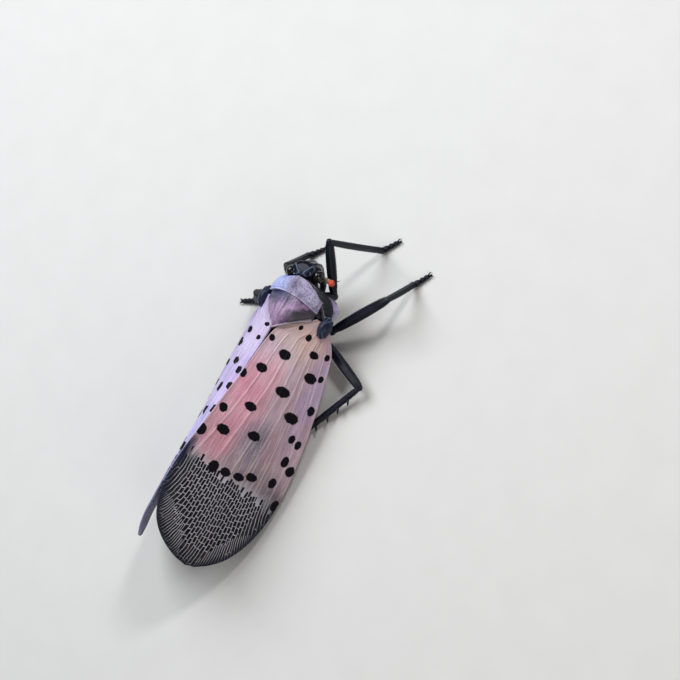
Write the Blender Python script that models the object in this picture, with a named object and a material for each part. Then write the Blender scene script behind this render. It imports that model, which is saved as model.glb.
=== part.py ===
"""Spotted lanternfly at rest, a still life-size model.

Every named size is in millimetres and points are written (right, back, up):
right of the insect's midline, back from the middle of its head, up from the floor.
The mesh code turns them into metres, with the head toward -Y and +Z up.
"""

import math

import bmesh
import bpy
from mathutils import Vector

MM = 0.001
# Signs of the right side and of the left one
SIDES = (("right", 1), ("left", -1))

# Room that neighbouring pieces keep between their faces
GAP = 0.3
# Least thickness of a wing, a shield plate or a feeler
SHEET = 0.5

# Edges sharper than this many degrees aren't shaded smooth
SHARP_EDGE = 40.0

# Height of the middle of the head over the floor
HEAD_UP = 5.0

# Forewing: outer edge, inner edge and shape of its skin
COSTAL_EDGE = (
    (3.55, 4.15, 2.95),
    (4.00, 5.20, 2.50),
    (4.45, 7.40, 2.02),
    (4.84, 10.10, 1.55),
    (5.20, 14.80, 0.92),
    (5.15, 18.00, 0.78),
    (4.80, 20.60, 1.05),
    (4.20, 22.60, 1.80),
    (3.45, 23.75, 2.60),
    (2.80, 24.40, 3.55),
)
SUTURAL_EDGE = (
    (2.60, 3.78, 4.38),
    (1.52, 4.66, 5.08),
    (0.30, 5.66, 5.60),
    (0.22, 9.40, 6.75),
    (0.20, 13.00, 7.75),
    (0.25, 17.00, 8.90),
    (0.42, 19.60, 9.25),
    (0.82, 21.80, 8.70),
    (1.30, 23.20, 7.40),
    (1.90, 24.15, 5.60),
    (2.45, 24.52, 4.25),
)
# How far the skin of the right and of the left forewing swells out
WING_BULGE = {1: 0.32, -1: 0.26}
# How far the outer edge of the left forewing is drawn in, and its inner edge down
LEFT_WING_TUCK = 0.50
LEFT_WING_DROP = 0.50
WING_ROWS = 27
VEIN_HEIGHT = 0.16
# Half of a vein's width as a share of the wing's breadth
VEIN_HALF_WIDTH = 0.020
# Share of the wing's length over which veins rise from base and tip
VEIN_FADE = 0.125
# Where each main vein crosses the wing, as a share from outer to inner edge: base, tip
FOREWING_VEINS = ((0.12, 0.10), (0.30, 0.27), (0.45, 0.46), (0.61, 0.66), (0.80, 0.90))

# Hindwing: the stretch of the forewing that it lies folded under
HINDWING_START = 0.148
HINDWING_END = 0.80
HINDWING_OUTER = 0.17
HINDWING_INNER = 0.74
HINDWING_ROWS = 15
HINDWING_VEINS = ((0.25, 0.22), (0.50, 0.50), (0.75, 0.78))

# Pronotum: half of its shield, from the keel out to the side lobe
# (right, up, back of the front edge, back of the rear edge)
PRONOTUM_HALF = (
    (0.00, 5.85, 0.84, 2.38),
    (0.90, 5.70, 1.10, 2.44),
    (1.70, 5.34, 1.56, 2.60),
    (2.35, 4.80, 2.02, 2.80),
    (2.80, 4.15, 1.75, 2.78),
    (3.02, 3.30, 1.38, 2.55),
)
PRONOTUM_CROWN = 0.06
PRONOTUM_KEEL = 0.14
PRONOTUM_COLUMNS = 11
PRONOTUM_ROWS = 7

# Mesonotum: half of its shield (right, up, back of the front edge, back of the rear edge)
MESONOTUM_HALF = (
    (0.00, 5.80, 2.70, 5.35),
    (0.75, 5.62, 2.76, 4.72),
    (1.45, 5.22, 2.88, 4.12),
    (2.05, 4.78, 3.05, 3.62),
    (2.25, 4.58, 3.12, 3.42),
)
MESONOTUM_COLUMNS = 8
MESONOTUM_ROWS = 7
MESONOTUM_CROWN = 0.18
MESONOTUM_KEEL = 0.10

# Thorax under the shields: back, middle height, half width, rise above, drop below
THORAX_STATIONS = (
    (0.80, 4.30, 0.85, 0.50, 0.85),
    (1.30, 4.18, 1.20, 0.66, 1.05),
    (2.00, 4.08, 1.74, 0.68, 1.45),
    (2.90, 3.80, 2.13, 0.45, 1.70),
    (3.70, 3.50, 2.12, 0.54, 1.60),
    (4.60, 3.20, 1.85, 0.90, 1.35),
    (5.50, 3.05, 1.70, 1.05, 1.25),
    (6.20, 2.95, 1.55, 1.15, 1.20),
)
THORAX_SIDES = 24
THORAX_RINGS = 15

# Abdomen: back, middle height, radius across, radius up and down
ABDOMEN_STATIONS = (
    (6.50, 2.80, 0.82, 0.80),
    (7.30, 2.66, 1.15, 1.10),
    (8.30, 2.42, 1.30, 1.28),
    (10.0, 2.25, 1.52, 1.48),
    (12.0, 2.15, 1.58, 1.52),
    (14.0, 2.15, 1.48, 1.42),
    (15.8, 2.24, 1.18, 1.16),
    (17.0, 2.34, 0.76, 0.76),
    (17.8, 2.40, 0.42, 0.42),
)
ABDOMEN_SEGMENTS = 8
# Rings of one segment: place along it, share of the step that it stands out by
SEGMENT_PROFILE = ((0.02, 0.0), (0.45, 0.7), (0.90, 1.0))
ABDOMEN_SIDES = 20
SEGMENT_STEP = 0.07

# Head: up, back of its middle, half width, reach forward and reach back of that middle
HEAD_STATIONS = (
    (5.74, 0.14, 0.52, 0.34, 0.30),
    (5.63, 0.12, 0.82, 0.48, 0.40),
    (5.34, 0.12, 1.06, 0.62, 0.48),
    (4.98, 0.12, 1.13, 0.74, 0.52),
    (4.56, 0.12, 1.08, 0.84, 0.56),
    (4.04, 0.12, 0.94, 0.86, 0.56),
    (3.48, 0.14, 0.76, 0.76, 0.48),
    (3.05, 0.18, 0.58, 0.58, 0.40),
    (2.75, 0.24, 0.36, 0.40, 0.32),
)
HEAD_REAR = 0.38
# The head is turned to the left about the neck
HEAD_TURN = 10.0
NECK = (0.0, 0.60, 5.0)
HEAD_SIDES = 26
HEAD_RINGS = 15
FACE_KEEL = 0.09
# Face keels stand at these turns from straight ahead
FACE_KEEL_TURNS = (-34.0, 0.0, 34.0)

EYE_CENTRE = (1.16, 0.33, 5.10)
EYE_RADII = (0.45, 0.47, 0.50)
EYE_SEGMENTS = 16
EYE_RINGS = 10

ANTENNA_ROOT_BACK = 0.20
ANTENNA_ROOT_UP = 4.10
# Middle of the bulb and tip of the bristle; the left feeler hangs down beside the face
ANTENNA_BULBS = {1: (2.13, 0.60, 4.50), -1: (1.62, 0.30, 3.62)}
ANTENNA_BULB_RADIUS = 0.27
# Turns of the rings that make up the bulb, in degrees from its middle
BULB_TURNS = (-55.0, -25.0, 0.0, 30.0, 58.0)
SCAPE_LENGTH = 0.16
SCAPE_RADII = (0.20, 0.25)
BRISTLE_TIPS = {1: (3.03, 0.28, 4.76), -1: (2.06, 0.12, 2.82)}
# Rings of the bristle: share of the way from the bulb's middle to the tip, radius
BRISTLE_RINGS = ((0.34, 0.10), (0.62, 0.07), (1.0, 0.027))
ANTENNA_SIDES = 10

ROSTRUM_PATH = ((0.0, 0.36, 2.28), (0.0, 0.85, 1.80), (0.0, 2.20, 1.38), (0.0, 4.90, 1.15))
ROSTRUM_RADII = (0.30, 0.28, 0.26, 0.17)
ROSTRUM_RINGS = 9

TEGULA_CENTRE = (3.08, 3.33, 3.74)
TEGULA_RADII = (0.42, 0.37, 0.58)
TEGULA_SEGMENTS = 12
TEGULA_RINGS = 8

# Legs, for each side: place of the coxa on the thorax (back, degrees below level),
# then the ends of coxa, femur and tibia and the tip of the toes
LEGS = {
    "fore_right": ((1.95, 48.0), (1.70, 0.95, 2.10), (1.25, -2.50, 5.84), (2.25, -4.05, 0.36),
                   (3.25, -5.45, 0.0)),
    "fore_left": ((1.95, 48.0), (-1.95, 1.32, 2.42), (-3.12, 0.55, 3.08), (-3.45, -1.05, 0.36),
                  (-2.35, -2.30, 0.0)),
    "mid_right": ((3.12, 50.0), (2.40, 3.40, 1.52), (6.50, -0.70, 3.45), (6.20, -2.80, 0.36),
                  (7.05, -4.20, 0.0)),
    "mid_left": ((3.00, 50.0), (-2.15, 3.15, 1.72), (-4.45, 3.55, 2.90), (-5.75, 4.10, 0.36),
                 (-7.25, 4.80, 0.0)),
    "hind_right": ((4.25, 56.0), (2.00, 4.25, 1.32), (6.75, 6.20, 1.10), (3.50, 12.00, 0.34),
                   (3.10, 14.00, 0.0)),
    "hind_left": ((4.15, 56.0), (-1.85, 4.30, 1.35), (-4.30, 7.55, 0.96), (-3.60, 12.90, 0.34),
                  (-3.20, 14.90, 0.0)),
}
COXA_RADII = (0.42, 0.36)
FEMUR_RADII = {"fore": (0.27, 0.38, 0.34), "mid": (0.27, 0.42, 0.34), "hind": (0.27, 0.38, 0.30)}
TIBIA_RADII = {"fore": (0.27, 0.30, 0.26), "mid": (0.27, 0.29, 0.26), "hind": (0.25, 0.25, 0.26)}
COXA_RINGS = 4
LIMB_RINGS = 7
LEG_SIDES = 8
# Bow of a tibia as a share of its length
TIBIA_BOW = -0.01
# Turns of the rings that round off the end of a limb, in degrees
END_TURNS = (35.0, 65.0)
# A joint bent less than this many degrees from straight needs no sideways room
STRAIGHT_JOINT = 120.0
LEAST_SINE = 0.5

TOE_WIDTH = 0.50
TOE_HEIGHT = 0.52
TOE_TIP_WIDTH = 0.30
TOE_TIP_HEIGHT = 0.30
# Rings of the foot, whose three joints narrow to a pinch: place along it, share of full size
TOE_RINGS = ((0.0, 0.84), (0.10, 1.0), (0.28, 0.84), (0.34, 1.0), (0.56, 0.84), (0.62, 1.0),
             (0.86, 1.0), (1.0, 0.84))
# Outline across the foot, flat below: share of its half width, share of its height
TOE_SECTION = ((-0.8, 0.0), (-1.0, 0.35), (-0.62, 0.86), (0.0, 1.0), (0.62, 0.86), (1.0, 0.35),
               (0.8, 0.0), (0.0, 0.0))

SPINE_LENGTH = 0.60
SPINE_RADIUS = 0.15
SPINE_SINK = 0.12
SPINE_SIDES = 5
# Rings of a spine: share of its length, share of its radius
SPINE_RINGS = ((0.0, 1.0), (0.6, 0.6), (1.0, 0.2))
# How far a spine leans toward the foot for each part that it stands out
SPINE_LEAN = 0.6
# Each spine is longer than the one before by this share
SPINE_GROWTH = 0.1
# Shares of the hind tibia at which its spines stand
SPINE_PLACES = (0.20, 0.36, 0.52)

# Small steps over which the slope of a surface is taken, as a share or in millimetres
SLOPE_STEP = 0.02
WALL_STEP = 0.05

# Colours as (red, green, blue), then roughness
PAINTS = {
    "Lavender shield": ((0.43, 0.37, 0.54), 0.55),
    "Navy shield": ((0.07, 0.06, 0.14), 0.45),
    "Blue-black body": ((0.012, 0.015, 0.030), 0.35),
    "Black eye": ((0.006, 0.006, 0.010), 0.12),
    "Orange feeler": ((0.75, 0.10, 0.04), 0.40),
    "Rose forewing": ((0.62, 0.40, 0.38), 0.60),
    "Red hindwing": ((0.60, 0.05, 0.04), 0.55),
    "Yellow abdomen": ((0.75, 0.50, 0.08), 0.50),
}


# Sampling of curves through a few chosen points
def chord_shares(knots):
    """Distance along the knots at each knot, as a share of the whole."""
    reach = [0.0]
    for first, second in zip(knots, knots[1:]):
        reach.append(reach[-1] + math.dist(first, second))
    return [value / reach[-1] for value in reach]


def knot_slope(places, knots, index, axis):
    """Slope of the smooth curve at one knot, taken from its neighbours."""
    before = max(index - 1, 0)
    after = min(index + 1, len(knots) - 1)
    return (knots[after][axis] - knots[before][axis]) / (places[after] - places[before])


def smooth_point(places, knots, where):
    """Point of the cubic curve that passes each knot at its place."""
    span = 0
    while span < len(places) - 2 and where > places[span + 1]:
        span += 1
    width = places[span + 1] - places[span]
    t = (where - places[span]) / width
    rise = 3 * t * t - 2 * t * t * t
    result = []
    for axis in range(len(knots[0])):
        start = knots[span][axis]
        end = knots[span + 1][axis]
        leave = knot_slope(places, knots, span, axis) * width
        arrive = knot_slope(places, knots, span + 1, axis) * width
        bend = t * (1 - t) * ((1 - t) * leave - t * arrive)
        result.append(start + (end - start) * rise + bend)
    return result


def smooth_station(stations, where):
    """Values of a table of stations at one place, which is each station's first value."""
    places = [station[0] for station in stations]
    if places[0] > places[-1]:
        places = [-place for place in places]
        where = -where
    return smooth_point(places, [station[1:] for station in stations], where)


def shares(count):
    return [index / (count - 1) for index in range(count)]


def lerp(start, end, share):
    return start + (end - start) * share


# Meshes and objects
def to_world(point):
    """Turns (right, back, up) in millimetres into metres, head toward -Y."""
    return Vector((-point[0], point[1], point[2])) * MM


def paint(name):
    material = bpy.data.materials.get(name)
    if material:
        return material
    colour, roughness = PAINTS[name]
    material = bpy.data.materials.new(name)
    material.use_nodes = True
    shader = material.node_tree.nodes["Principled BSDF"]
    shader.inputs["Base Color"].default_value = (*colour, 1.0)
    shader.inputs["Roughness"].default_value = roughness
    shader.inputs["Metallic"].default_value = 0.0
    return material


def make_object(name, bm, root, paint_name):
    """Object of a finished mesh, with its origin at the point where it grows."""
    bmesh.ops.triangulate(bm, faces=bm.faces)
    bmesh.ops.recalc_face_normals(bm, faces=bm.faces)
    if bm.calc_volume(signed=True) < 0:
        bmesh.ops.reverse_faces(bm, faces=bm.faces)
    origin = to_world(root)
    bmesh.ops.translate(bm, verts=bm.verts, vec=-origin)
    mesh = bpy.data.meshes.new(name)
    bm.to_mesh(mesh)
    bm.free()
    mesh.shade_smooth()
    mesh.set_sharp_from_angle(angle=math.radians(SHARP_EDGE))
    mesh.materials.append(paint(paint_name))
    part = bpy.data.objects.new(name, mesh)
    part.location = origin
    bpy.context.scene.collection.objects.link(part)
    return part


def ring_body(rings):
    """Closed mesh through rings of equal count, with a fan over each end ring."""
    bm = bmesh.new()
    rows = [[bm.verts.new(to_world(point)) for point in ring] for ring in rings]
    for row, following in zip(rows, rows[1:]):
        for index in range(len(row)):
            beside = (index + 1) % len(row)
            bm.faces.new((row[index], row[beside], following[beside], following[index]))
    for row in (rows[0], rows[-1]):
        middle = bm.verts.new(sum((vert.co for vert in row), Vector()) / len(row))
        for index in range(len(row)):
            bm.faces.new((middle, row[index], row[(index + 1) % len(row)]))
    return bm


def plate_body(outer, inner):
    """Closed thin plate between two grids of points, cut into the same triangles."""
    bm = bmesh.new()
    skins = []
    for grid in (outer, inner):
        skins.append([[bm.verts.new(to_world(point)) for point in row] for row in grid])
    rows = len(outer)
    columns = len(outer[0])
    for skin in skins:
        for i in range(rows - 1):
            for j in range(columns - 1):
                bm.faces.new((skin[i][j], skin[i + 1][j], skin[i + 1][j + 1]))
                bm.faces.new((skin[i][j], skin[i + 1][j + 1], skin[i][j + 1]))
    rim = [(0, j) for j in range(columns)]
    rim += [(i, columns - 1) for i in range(1, rows)]
    rim += [(rows - 1, j) for j in range(columns - 2, -1, -1)]
    rim += [(i, 0) for i in range(rows - 2, 0, -1)]
    for index, (i, j) in enumerate(rim):
        k, m = rim[(index + 1) % len(rim)]
        bm.faces.new((skins[0][i][j], skins[0][k][m], skins[1][k][m]))
        bm.faces.new((skins[0][i][j], skins[1][k][m], skins[1][i][j]))
    return bm


def ellipsoid(centre, radii, segments, rings):
    """Closed ellipsoid as rings stacked along the up axis."""
    stack = []
    for share in shares(rings + 1)[1:-1]:
        polar = math.pi * share
        ring = []
        for index in range(segments):
            turn = math.tau * index / segments
            ring.append((
                centre[0] + radii[0] * math.sin(polar) * math.cos(turn),
                centre[1] + radii[1] * math.sin(polar) * math.sin(turn),
                centre[2] + radii[2] * math.cos(polar),
            ))
        stack.append(ring)
    top = (centre[0], centre[1], centre[2] + radii[2])
    bottom = (centre[0], centre[1], centre[2] - radii[2])
    bm = ring_body(stack)
    bm.verts.ensure_lookup_table()
    bm.verts[len(bm.verts) - 2].co = to_world(top)
    bm.verts[len(bm.verts) - 1].co = to_world(bottom)
    return bm


def tube_rings(path, radii, sides, start_normal=None, round_end=True):
    """Rings of a tapered limb along a path, with a flat start and a round or flat end."""
    path = [Vector(point) for point in path]
    heading = (path[1] - path[0]).normalized()
    guide = Vector((0.0, 0.0, 1.0))
    if abs(heading.dot(guide)) > 0.9:
        guide = Vector((0.0, 1.0, 0.0))
    side = heading.cross(guide).normalized()
    rings = []
    for index, centre in enumerate(path):
        before = path[max(index - 1, 0)]
        after = path[min(index + 1, len(path) - 1)]
        heading = (after - before).normalized()
        side = (side - heading * side.dot(heading)).normalized()
        other = heading.cross(side)
        ring = []
        for step in range(sides):
            turn = math.tau * step / sides
            spoke = side * math.cos(turn) + other * math.sin(turn)
            point = centre + spoke * radii[index]
            if index == 0 and start_normal is not None:
                slide = (centre - point).dot(start_normal) / heading.dot(start_normal)
                point = point + heading * slide
            ring.append(tuple(point))
        rings.append(ring)
    if round_end:
        centre = path[-1]
        for turn in END_TURNS:
            reach = radii[-1] * math.sin(math.radians(turn))
            width = math.cos(math.radians(turn))
            ring = [tuple(centre + (Vector(point) - centre) * width + heading * reach)
                    for point in rings[len(path) - 1]]
            rings.append(ring)
    return rings


def fuse(part, pieces):
    """Joins closed pieces to a part with one union and keeps its largest closed surface."""
    group = bpy.data.collections.new(part.name + " pieces")
    bpy.context.scene.collection.children.link(group)
    for piece in pieces:
        bpy.context.scene.collection.objects.unlink(piece)
        group.objects.link(piece)
    union = part.modifiers.new("Join pieces", "BOOLEAN")
    union.operation = "UNION"
    union.operand_type = "COLLECTION"
    union.collection = group
    union.solver = "EXACT"
    bpy.context.view_layer.update()
    graph = bpy.context.evaluated_depsgraph_get()
    joined = bpy.data.meshes.new_from_object(part.evaluated_get(graph))
    part.modifiers.clear()
    part.data = joined
    for piece in pieces:
        bpy.data.objects.remove(piece)
    bpy.data.collections.remove(group)
    keep_largest(joined)


def keep_largest(mesh):
    """Drops every closed surface of a mesh but the one with the most faces."""
    bm = bmesh.new()
    bm.from_mesh(mesh)
    left = set(bm.verts)
    islands = []
    while left:
        grown = set()
        edge = [left.pop()]
        while edge:
            vert = edge.pop()
            grown.add(vert)
            for link in vert.link_edges:
                other = link.other_vert(vert)
                if other in left:
                    left.remove(other)
                    edge.append(other)
        islands.append(grown)
    islands.sort(key=len)
    loose = [vert for island in islands[:-1] for vert in island]
    bmesh.ops.delete(bm, geom=loose, context="VERTS")
    bm.to_mesh(mesh)
    bm.free()


# Head, with its cups for the eyes, face keels, feelers and beak
def head_ring(up):
    middle, half_width, ahead, behind = smooth_station(HEAD_STATIONS, up)
    ring = []
    for index in range(HEAD_SIDES):
        turn = math.tau * index / HEAD_SIDES
        reach = ahead if math.cos(turn) > 0 else behind
        right = half_width * math.sin(turn)
        back = middle - reach * math.cos(turn)
        degrees = math.degrees(math.remainder(turn, math.tau))
        for keel_turn in FACE_KEEL_TURNS:
            if abs(degrees - keel_turn) < 180.0 / HEAD_SIDES:
                right += FACE_KEEL * math.sin(turn)
                back -= FACE_KEEL * math.cos(turn)
        ring.append((right, min(back, HEAD_REAR), up))
    return ring


def make_head():
    top = HEAD_STATIONS[0][0]
    bottom = HEAD_STATIONS[-1][0]
    rings = [head_ring(lerp(top, bottom, share)) for share in shares(HEAD_RINGS)]
    head = make_object("head", ring_body(rings), (0.0, HEAD_REAR, HEAD_UP), "Blue-black body")
    for side_name, side in SIDES:
        cup = ellipsoid(
            (side * EYE_CENTRE[0], EYE_CENTRE[1], EYE_CENTRE[2]),
            [radius + GAP for radius in EYE_RADII],
            EYE_SEGMENTS,
            EYE_RINGS,
        )
        cutter = make_object("eye_cup_" + side_name, cup, EYE_CENTRE, "Blue-black body")
        cutter.hide_render = True
        cutter.display_type = "WIRE"
        cut = head.modifiers.new("Eye cup " + side_name, "BOOLEAN")
        cut.operation = "DIFFERENCE"
        cut.object = cutter
        cut.solver = "EXACT"


def make_eye(side_name, side):
    centre = (side * EYE_CENTRE[0], EYE_CENTRE[1], EYE_CENTRE[2])
    ball = ellipsoid(centre, EYE_RADII, EYE_SEGMENTS, EYE_RINGS)
    make_object("eye_" + side_name, ball, centre, "Black eye")


def make_antenna(side_name, side):
    """Short stalk, round orange bulb and the fine bristle that leaves it."""
    _, half_width, _, _ = smooth_station(HEAD_STATIONS, ANTENNA_ROOT_UP)
    bulb = Vector(mirrored(ANTENNA_BULBS[side], side))
    root = Vector((side * (half_width + GAP), ANTENNA_ROOT_BACK, ANTENNA_ROOT_UP))
    tip = Vector(mirrored(BRISTLE_TIPS[side], side))
    stalk = (bulb - root).normalized()
    path = [root, root + stalk * SCAPE_LENGTH]
    radii = list(SCAPE_RADII)
    for turn in BULB_TURNS:
        angle = math.radians(turn)
        path.append(bulb + stalk * ANTENNA_BULB_RADIUS * math.sin(angle))
        radii.append(ANTENNA_BULB_RADIUS * math.cos(angle))
    for share, radius in BRISTLE_RINGS:
        path.append(bulb.lerp(tip, share))
        radii.append(radius)
    rings = tube_rings(path, radii, ANTENNA_SIDES, Vector((side, 0.0, 0.0)), round_end=False)
    make_object("antenna_" + side_name, ring_body(rings), root, "Orange feeler")


def make_rostrum():
    places = chord_shares(ROSTRUM_PATH)
    path = [smooth_point(places, ROSTRUM_PATH, share) for share in shares(ROSTRUM_RINGS)]
    knots = [(radius,) for radius in ROSTRUM_RADII]
    radii = [smooth_point(places, knots, share)[0] for share in shares(ROSTRUM_RINGS)]
    rings = tube_rings(path, radii, LEG_SIDES)
    make_object("rostrum", ring_body(rings), ROSTRUM_PATH[0], "Blue-black body")


# Shields of the thorax
def shield_grids(half, columns, rows, crown, keel):
    """Outer and inner grids of a shield plate that arches over the midline."""
    places = shares(len(half))
    outer = []
    inner = []
    for row_share in shares(rows):
        outer_row = []
        inner_row = []
        for step in range(-columns, columns + 1):
            reach = abs(step) / columns
            side = 1.0 if step >= 0 else -1.0
            right, up, front, rear = smooth_point(places, half, reach)
            near = smooth_point(places, half, max(reach - SLOPE_STEP, 0.0))
            far = smooth_point(places, half, min(reach + SLOPE_STEP, 1.0))
            slope = Vector((far[0] - near[0], far[1] - near[1])).normalized()
            normal = Vector((-slope.y, slope.x))
            if step == 0:
                normal = Vector((0.0, 1.0))
            back = lerp(front, rear, row_share)
            lift = crown * math.sin(math.pi * row_share) * (1.0 - reach)
            if step == 0:
                lift += keel * math.sin(math.pi * row_share)
            outer_row.append((side * (right + normal.x * lift), back, up + normal.y * lift))
            inner_row.append((side * (right - normal.x * SHEET), back, up - normal.y * SHEET))
        outer.append(outer_row)
        inner.append(inner_row)
    return outer, inner


def make_pronotum():
    grids = shield_grids(PRONOTUM_HALF, PRONOTUM_COLUMNS, PRONOTUM_ROWS, PRONOTUM_CROWN,
                         PRONOTUM_KEEL)
    root = (0.0, PRONOTUM_HALF[0][2], PRONOTUM_HALF[0][1])
    make_object("pronotum", plate_body(*grids), root, "Lavender shield")


def make_mesonotum():
    grids = shield_grids(MESONOTUM_HALF, MESONOTUM_COLUMNS, MESONOTUM_ROWS, MESONOTUM_CROWN,
                         MESONOTUM_KEEL)
    root = (0.0, MESONOTUM_HALF[0][2], MESONOTUM_HALF[0][1])
    make_object("mesonotum", plate_body(*grids), root, "Navy shield")


def make_tegula(side_name, side):
    centre = (side * TEGULA_CENTRE[0], TEGULA_CENTRE[1], TEGULA_CENTRE[2])
    lobe = ellipsoid(centre, TEGULA_RADII, TEGULA_SEGMENTS, TEGULA_RINGS)
    make_object("tegula_" + side_name, lobe, centre, "Blue-black body")


# Thorax and abdomen
def thorax_point(back, turn):
    """Point of the thorax wall; turn is measured up from level on the right side."""
    middle, half_width, rise, drop = smooth_station(THORAX_STATIONS, back)
    height = rise if math.sin(turn) > 0 else drop
    return Vector((half_width * math.cos(turn), back, middle + height * math.sin(turn)))


def thorax_normal(back, turn):
    along = thorax_point(back + WALL_STEP, turn) - thorax_point(back - WALL_STEP, turn)
    around = thorax_point(back, turn + WALL_STEP) - thorax_point(back, turn - WALL_STEP)
    return along.cross(around).normalized()


def make_thorax():
    start = THORAX_STATIONS[0][0]
    end = THORAX_STATIONS[-1][0]
    rings = []
    for share in shares(THORAX_RINGS):
        back = lerp(start, end, share)
        turns = [math.tau * index / THORAX_SIDES for index in range(THORAX_SIDES)]
        rings.append([tuple(thorax_point(back, turn)) for turn in turns])
    root = (0.0, start, THORAX_STATIONS[0][1])
    make_object("thorax", ring_body(rings), root, "Blue-black body")


def make_abdomen():
    """Tapering body whose rings overlap like short cups."""
    start = ABDOMEN_STATIONS[0][0]
    end = ABDOMEN_STATIONS[-1][0]
    rings = []
    for segment in range(ABDOMEN_SEGMENTS):
        for inside, swell in SEGMENT_PROFILE:
            back = lerp(start, end, (segment + inside) / ABDOMEN_SEGMENTS)
            middle, across, tall = smooth_station(ABDOMEN_STATIONS, back)
            spread = SEGMENT_STEP * swell
            ring = []
            for index in range(ABDOMEN_SIDES):
                turn = math.tau * index / ABDOMEN_SIDES
                right = (across + spread) * math.cos(turn)
                up = middle + (tall + spread) * math.sin(turn)
                ring.append((right, back, up))
            rings.append(ring)
    root = (0.0, start, ABDOMEN_STATIONS[0][1])
    make_object("abdomen", ring_body(rings), root, "Yellow abdomen")


# Wings, worked out on the right side and mirrored to the left
COSTAL_PLACES = chord_shares(COSTAL_EDGE)
SUTURAL_PLACES = chord_shares(SUTURAL_EDGE)


def ruled_point(side, along, across):
    """Point on the straight line between both edges of a forewing."""
    outer = Vector(smooth_point(COSTAL_PLACES, COSTAL_EDGE, along))
    inner = Vector(smooth_point(SUTURAL_PLACES, SUTURAL_EDGE, along))
    if side < 0:
        outer.x -= LEFT_WING_TUCK * math.sin(math.pi / 2.0 * along)
        inner.z -= LEFT_WING_DROP * math.sin(math.pi * along ** 2)
    return outer.lerp(inner, across)


def ruled_normal(side, along):
    """Way that the wing faces, outward and up, at one place along it."""
    step = 0.01
    low = max(along - step, 0.0)
    high = min(along + step, 1.0)
    lengthwise = ruled_point(side, high, 0.5) - ruled_point(side, low, 0.5)
    crosswise = ruled_point(side, along, 1.0) - ruled_point(side, along, 0.0)
    normal = lengthwise.cross(crosswise).normalized()
    return normal if normal.z > 0 else -normal


def wing_point(side, along, across):
    """Point on the outer skin of a forewing, and the way that skin faces."""
    envelope = math.sqrt(max(4.0 * along * (1.0 - along), 0.0))
    bulge = WING_BULGE[side] * 4.0 * across * (1.0 - across) * envelope
    normal = ruled_normal(side, along)
    return ruled_point(side, along, across) + normal * bulge, normal


def vein_columns(veins, along):
    """Places across the wing with the lift of the membrane there, ridged at each vein."""
    columns = [(0.0, 0.0)]
    lift = VEIN_HEIGHT * min(1.0, along / VEIN_FADE, (1.0 - along) / VEIN_FADE)
    centres = [lerp(base, tip, along) for base, tip in veins]
    for index, centre in enumerate(centres):
        columns.append((centre - VEIN_HALF_WIDTH, 0.0))
        columns.append((centre, lift))
        columns.append((centre + VEIN_HALF_WIDTH, 0.0))
        if index + 1 < len(centres):
            columns.append(((centre + centres[index + 1]) / 2.0, 0.0))
    columns.append((1.0, 0.0))
    return columns


def mitre_share(side, along):
    """Share of the wing's breadth by which its lower skin stops short of the midline."""
    edge = ruled_point(side, along, 1.0)
    breadth = ruled_point(side, along, 0.0).x - edge.x
    short = GAP / 2.0 + SHEET * ruled_normal(side, along).x - edge.x
    return short / breadth if short > 0.0 else 0.0


def make_forewing(side_name, side):
    outer = []
    inner = []
    for along in shares(WING_ROWS):
        kept = 1.0 - mitre_share(side, along)
        outer_row = []
        inner_row = []
        for across, lift in vein_columns(FOREWING_VEINS, along):
            skin, normal = wing_point(side, along, across)
            under, under_normal = wing_point(side, along, across * kept)
            outer_row.append(mirrored(skin + normal * lift, side))
            inner_row.append(mirrored(under - under_normal * SHEET, side))
        outer.append(outer_row)
        inner.append(inner_row)
    root = mirrored(ruled_point(side, 0.0, 0.5), side)
    make_object("forewing_" + side_name, plate_body(outer, inner), root, "Rose forewing")


def make_hindwing(side_name, side):
    """Folded wing that lies one gap inside the forewing."""
    outer = []
    inner = []
    for row_share in shares(HINDWING_ROWS):
        along = lerp(HINDWING_START, HINDWING_END, row_share)
        outer_row = []
        inner_row = []
        for share, lift in vein_columns(HINDWING_VEINS, row_share):
            across = lerp(HINDWING_OUTER, HINDWING_INNER, share)
            skin, normal = wing_point(side, along, across)
            top = skin - normal * (SHEET + GAP)
            outer_row.append(mirrored(top, side))
            inner_row.append(mirrored(top - normal * (SHEET + lift), side))
        outer.append(outer_row)
        inner.append(inner_row)
    root = inner[0][0]
    make_object("hindwing_" + side_name, plate_body(outer, inner), root, "Red hindwing")


def mirrored(point, side):
    return (side * point[0], point[1], point[2])


# Legs
def start_reach(back_along, ahead_along, ball, thick, thin):
    """How far past a joint the next segment starts, so that it clears the one before."""
    apart = back_along.angle(ahead_along)
    beside = (thick + GAP + thin * math.cos(apart)) / max(math.sin(apart), LEAST_SINE)
    if apart > math.radians(STRAIGHT_JOINT):
        beside = 0.0
    return max(ball + GAP, beside)


def limb_path(start, end, bow, count):
    """Points from start to end, bowed sideways by a share of the length."""
    start = Vector(start)
    end = Vector(end)
    span = end - start
    aside = span.cross(Vector((0.0, 0.0, 1.0))).cross(span).normalized()
    points = []
    for share in shares(count):
        points.append(start.lerp(end, share) + aside * span.length * bow * math.sin(math.pi * share))
    return points


def limb_radii(three, count):
    knots = [(radius,) for radius in three]
    return [smooth_point(shares(len(three)), knots, share)[0] for share in shares(count)]


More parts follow.
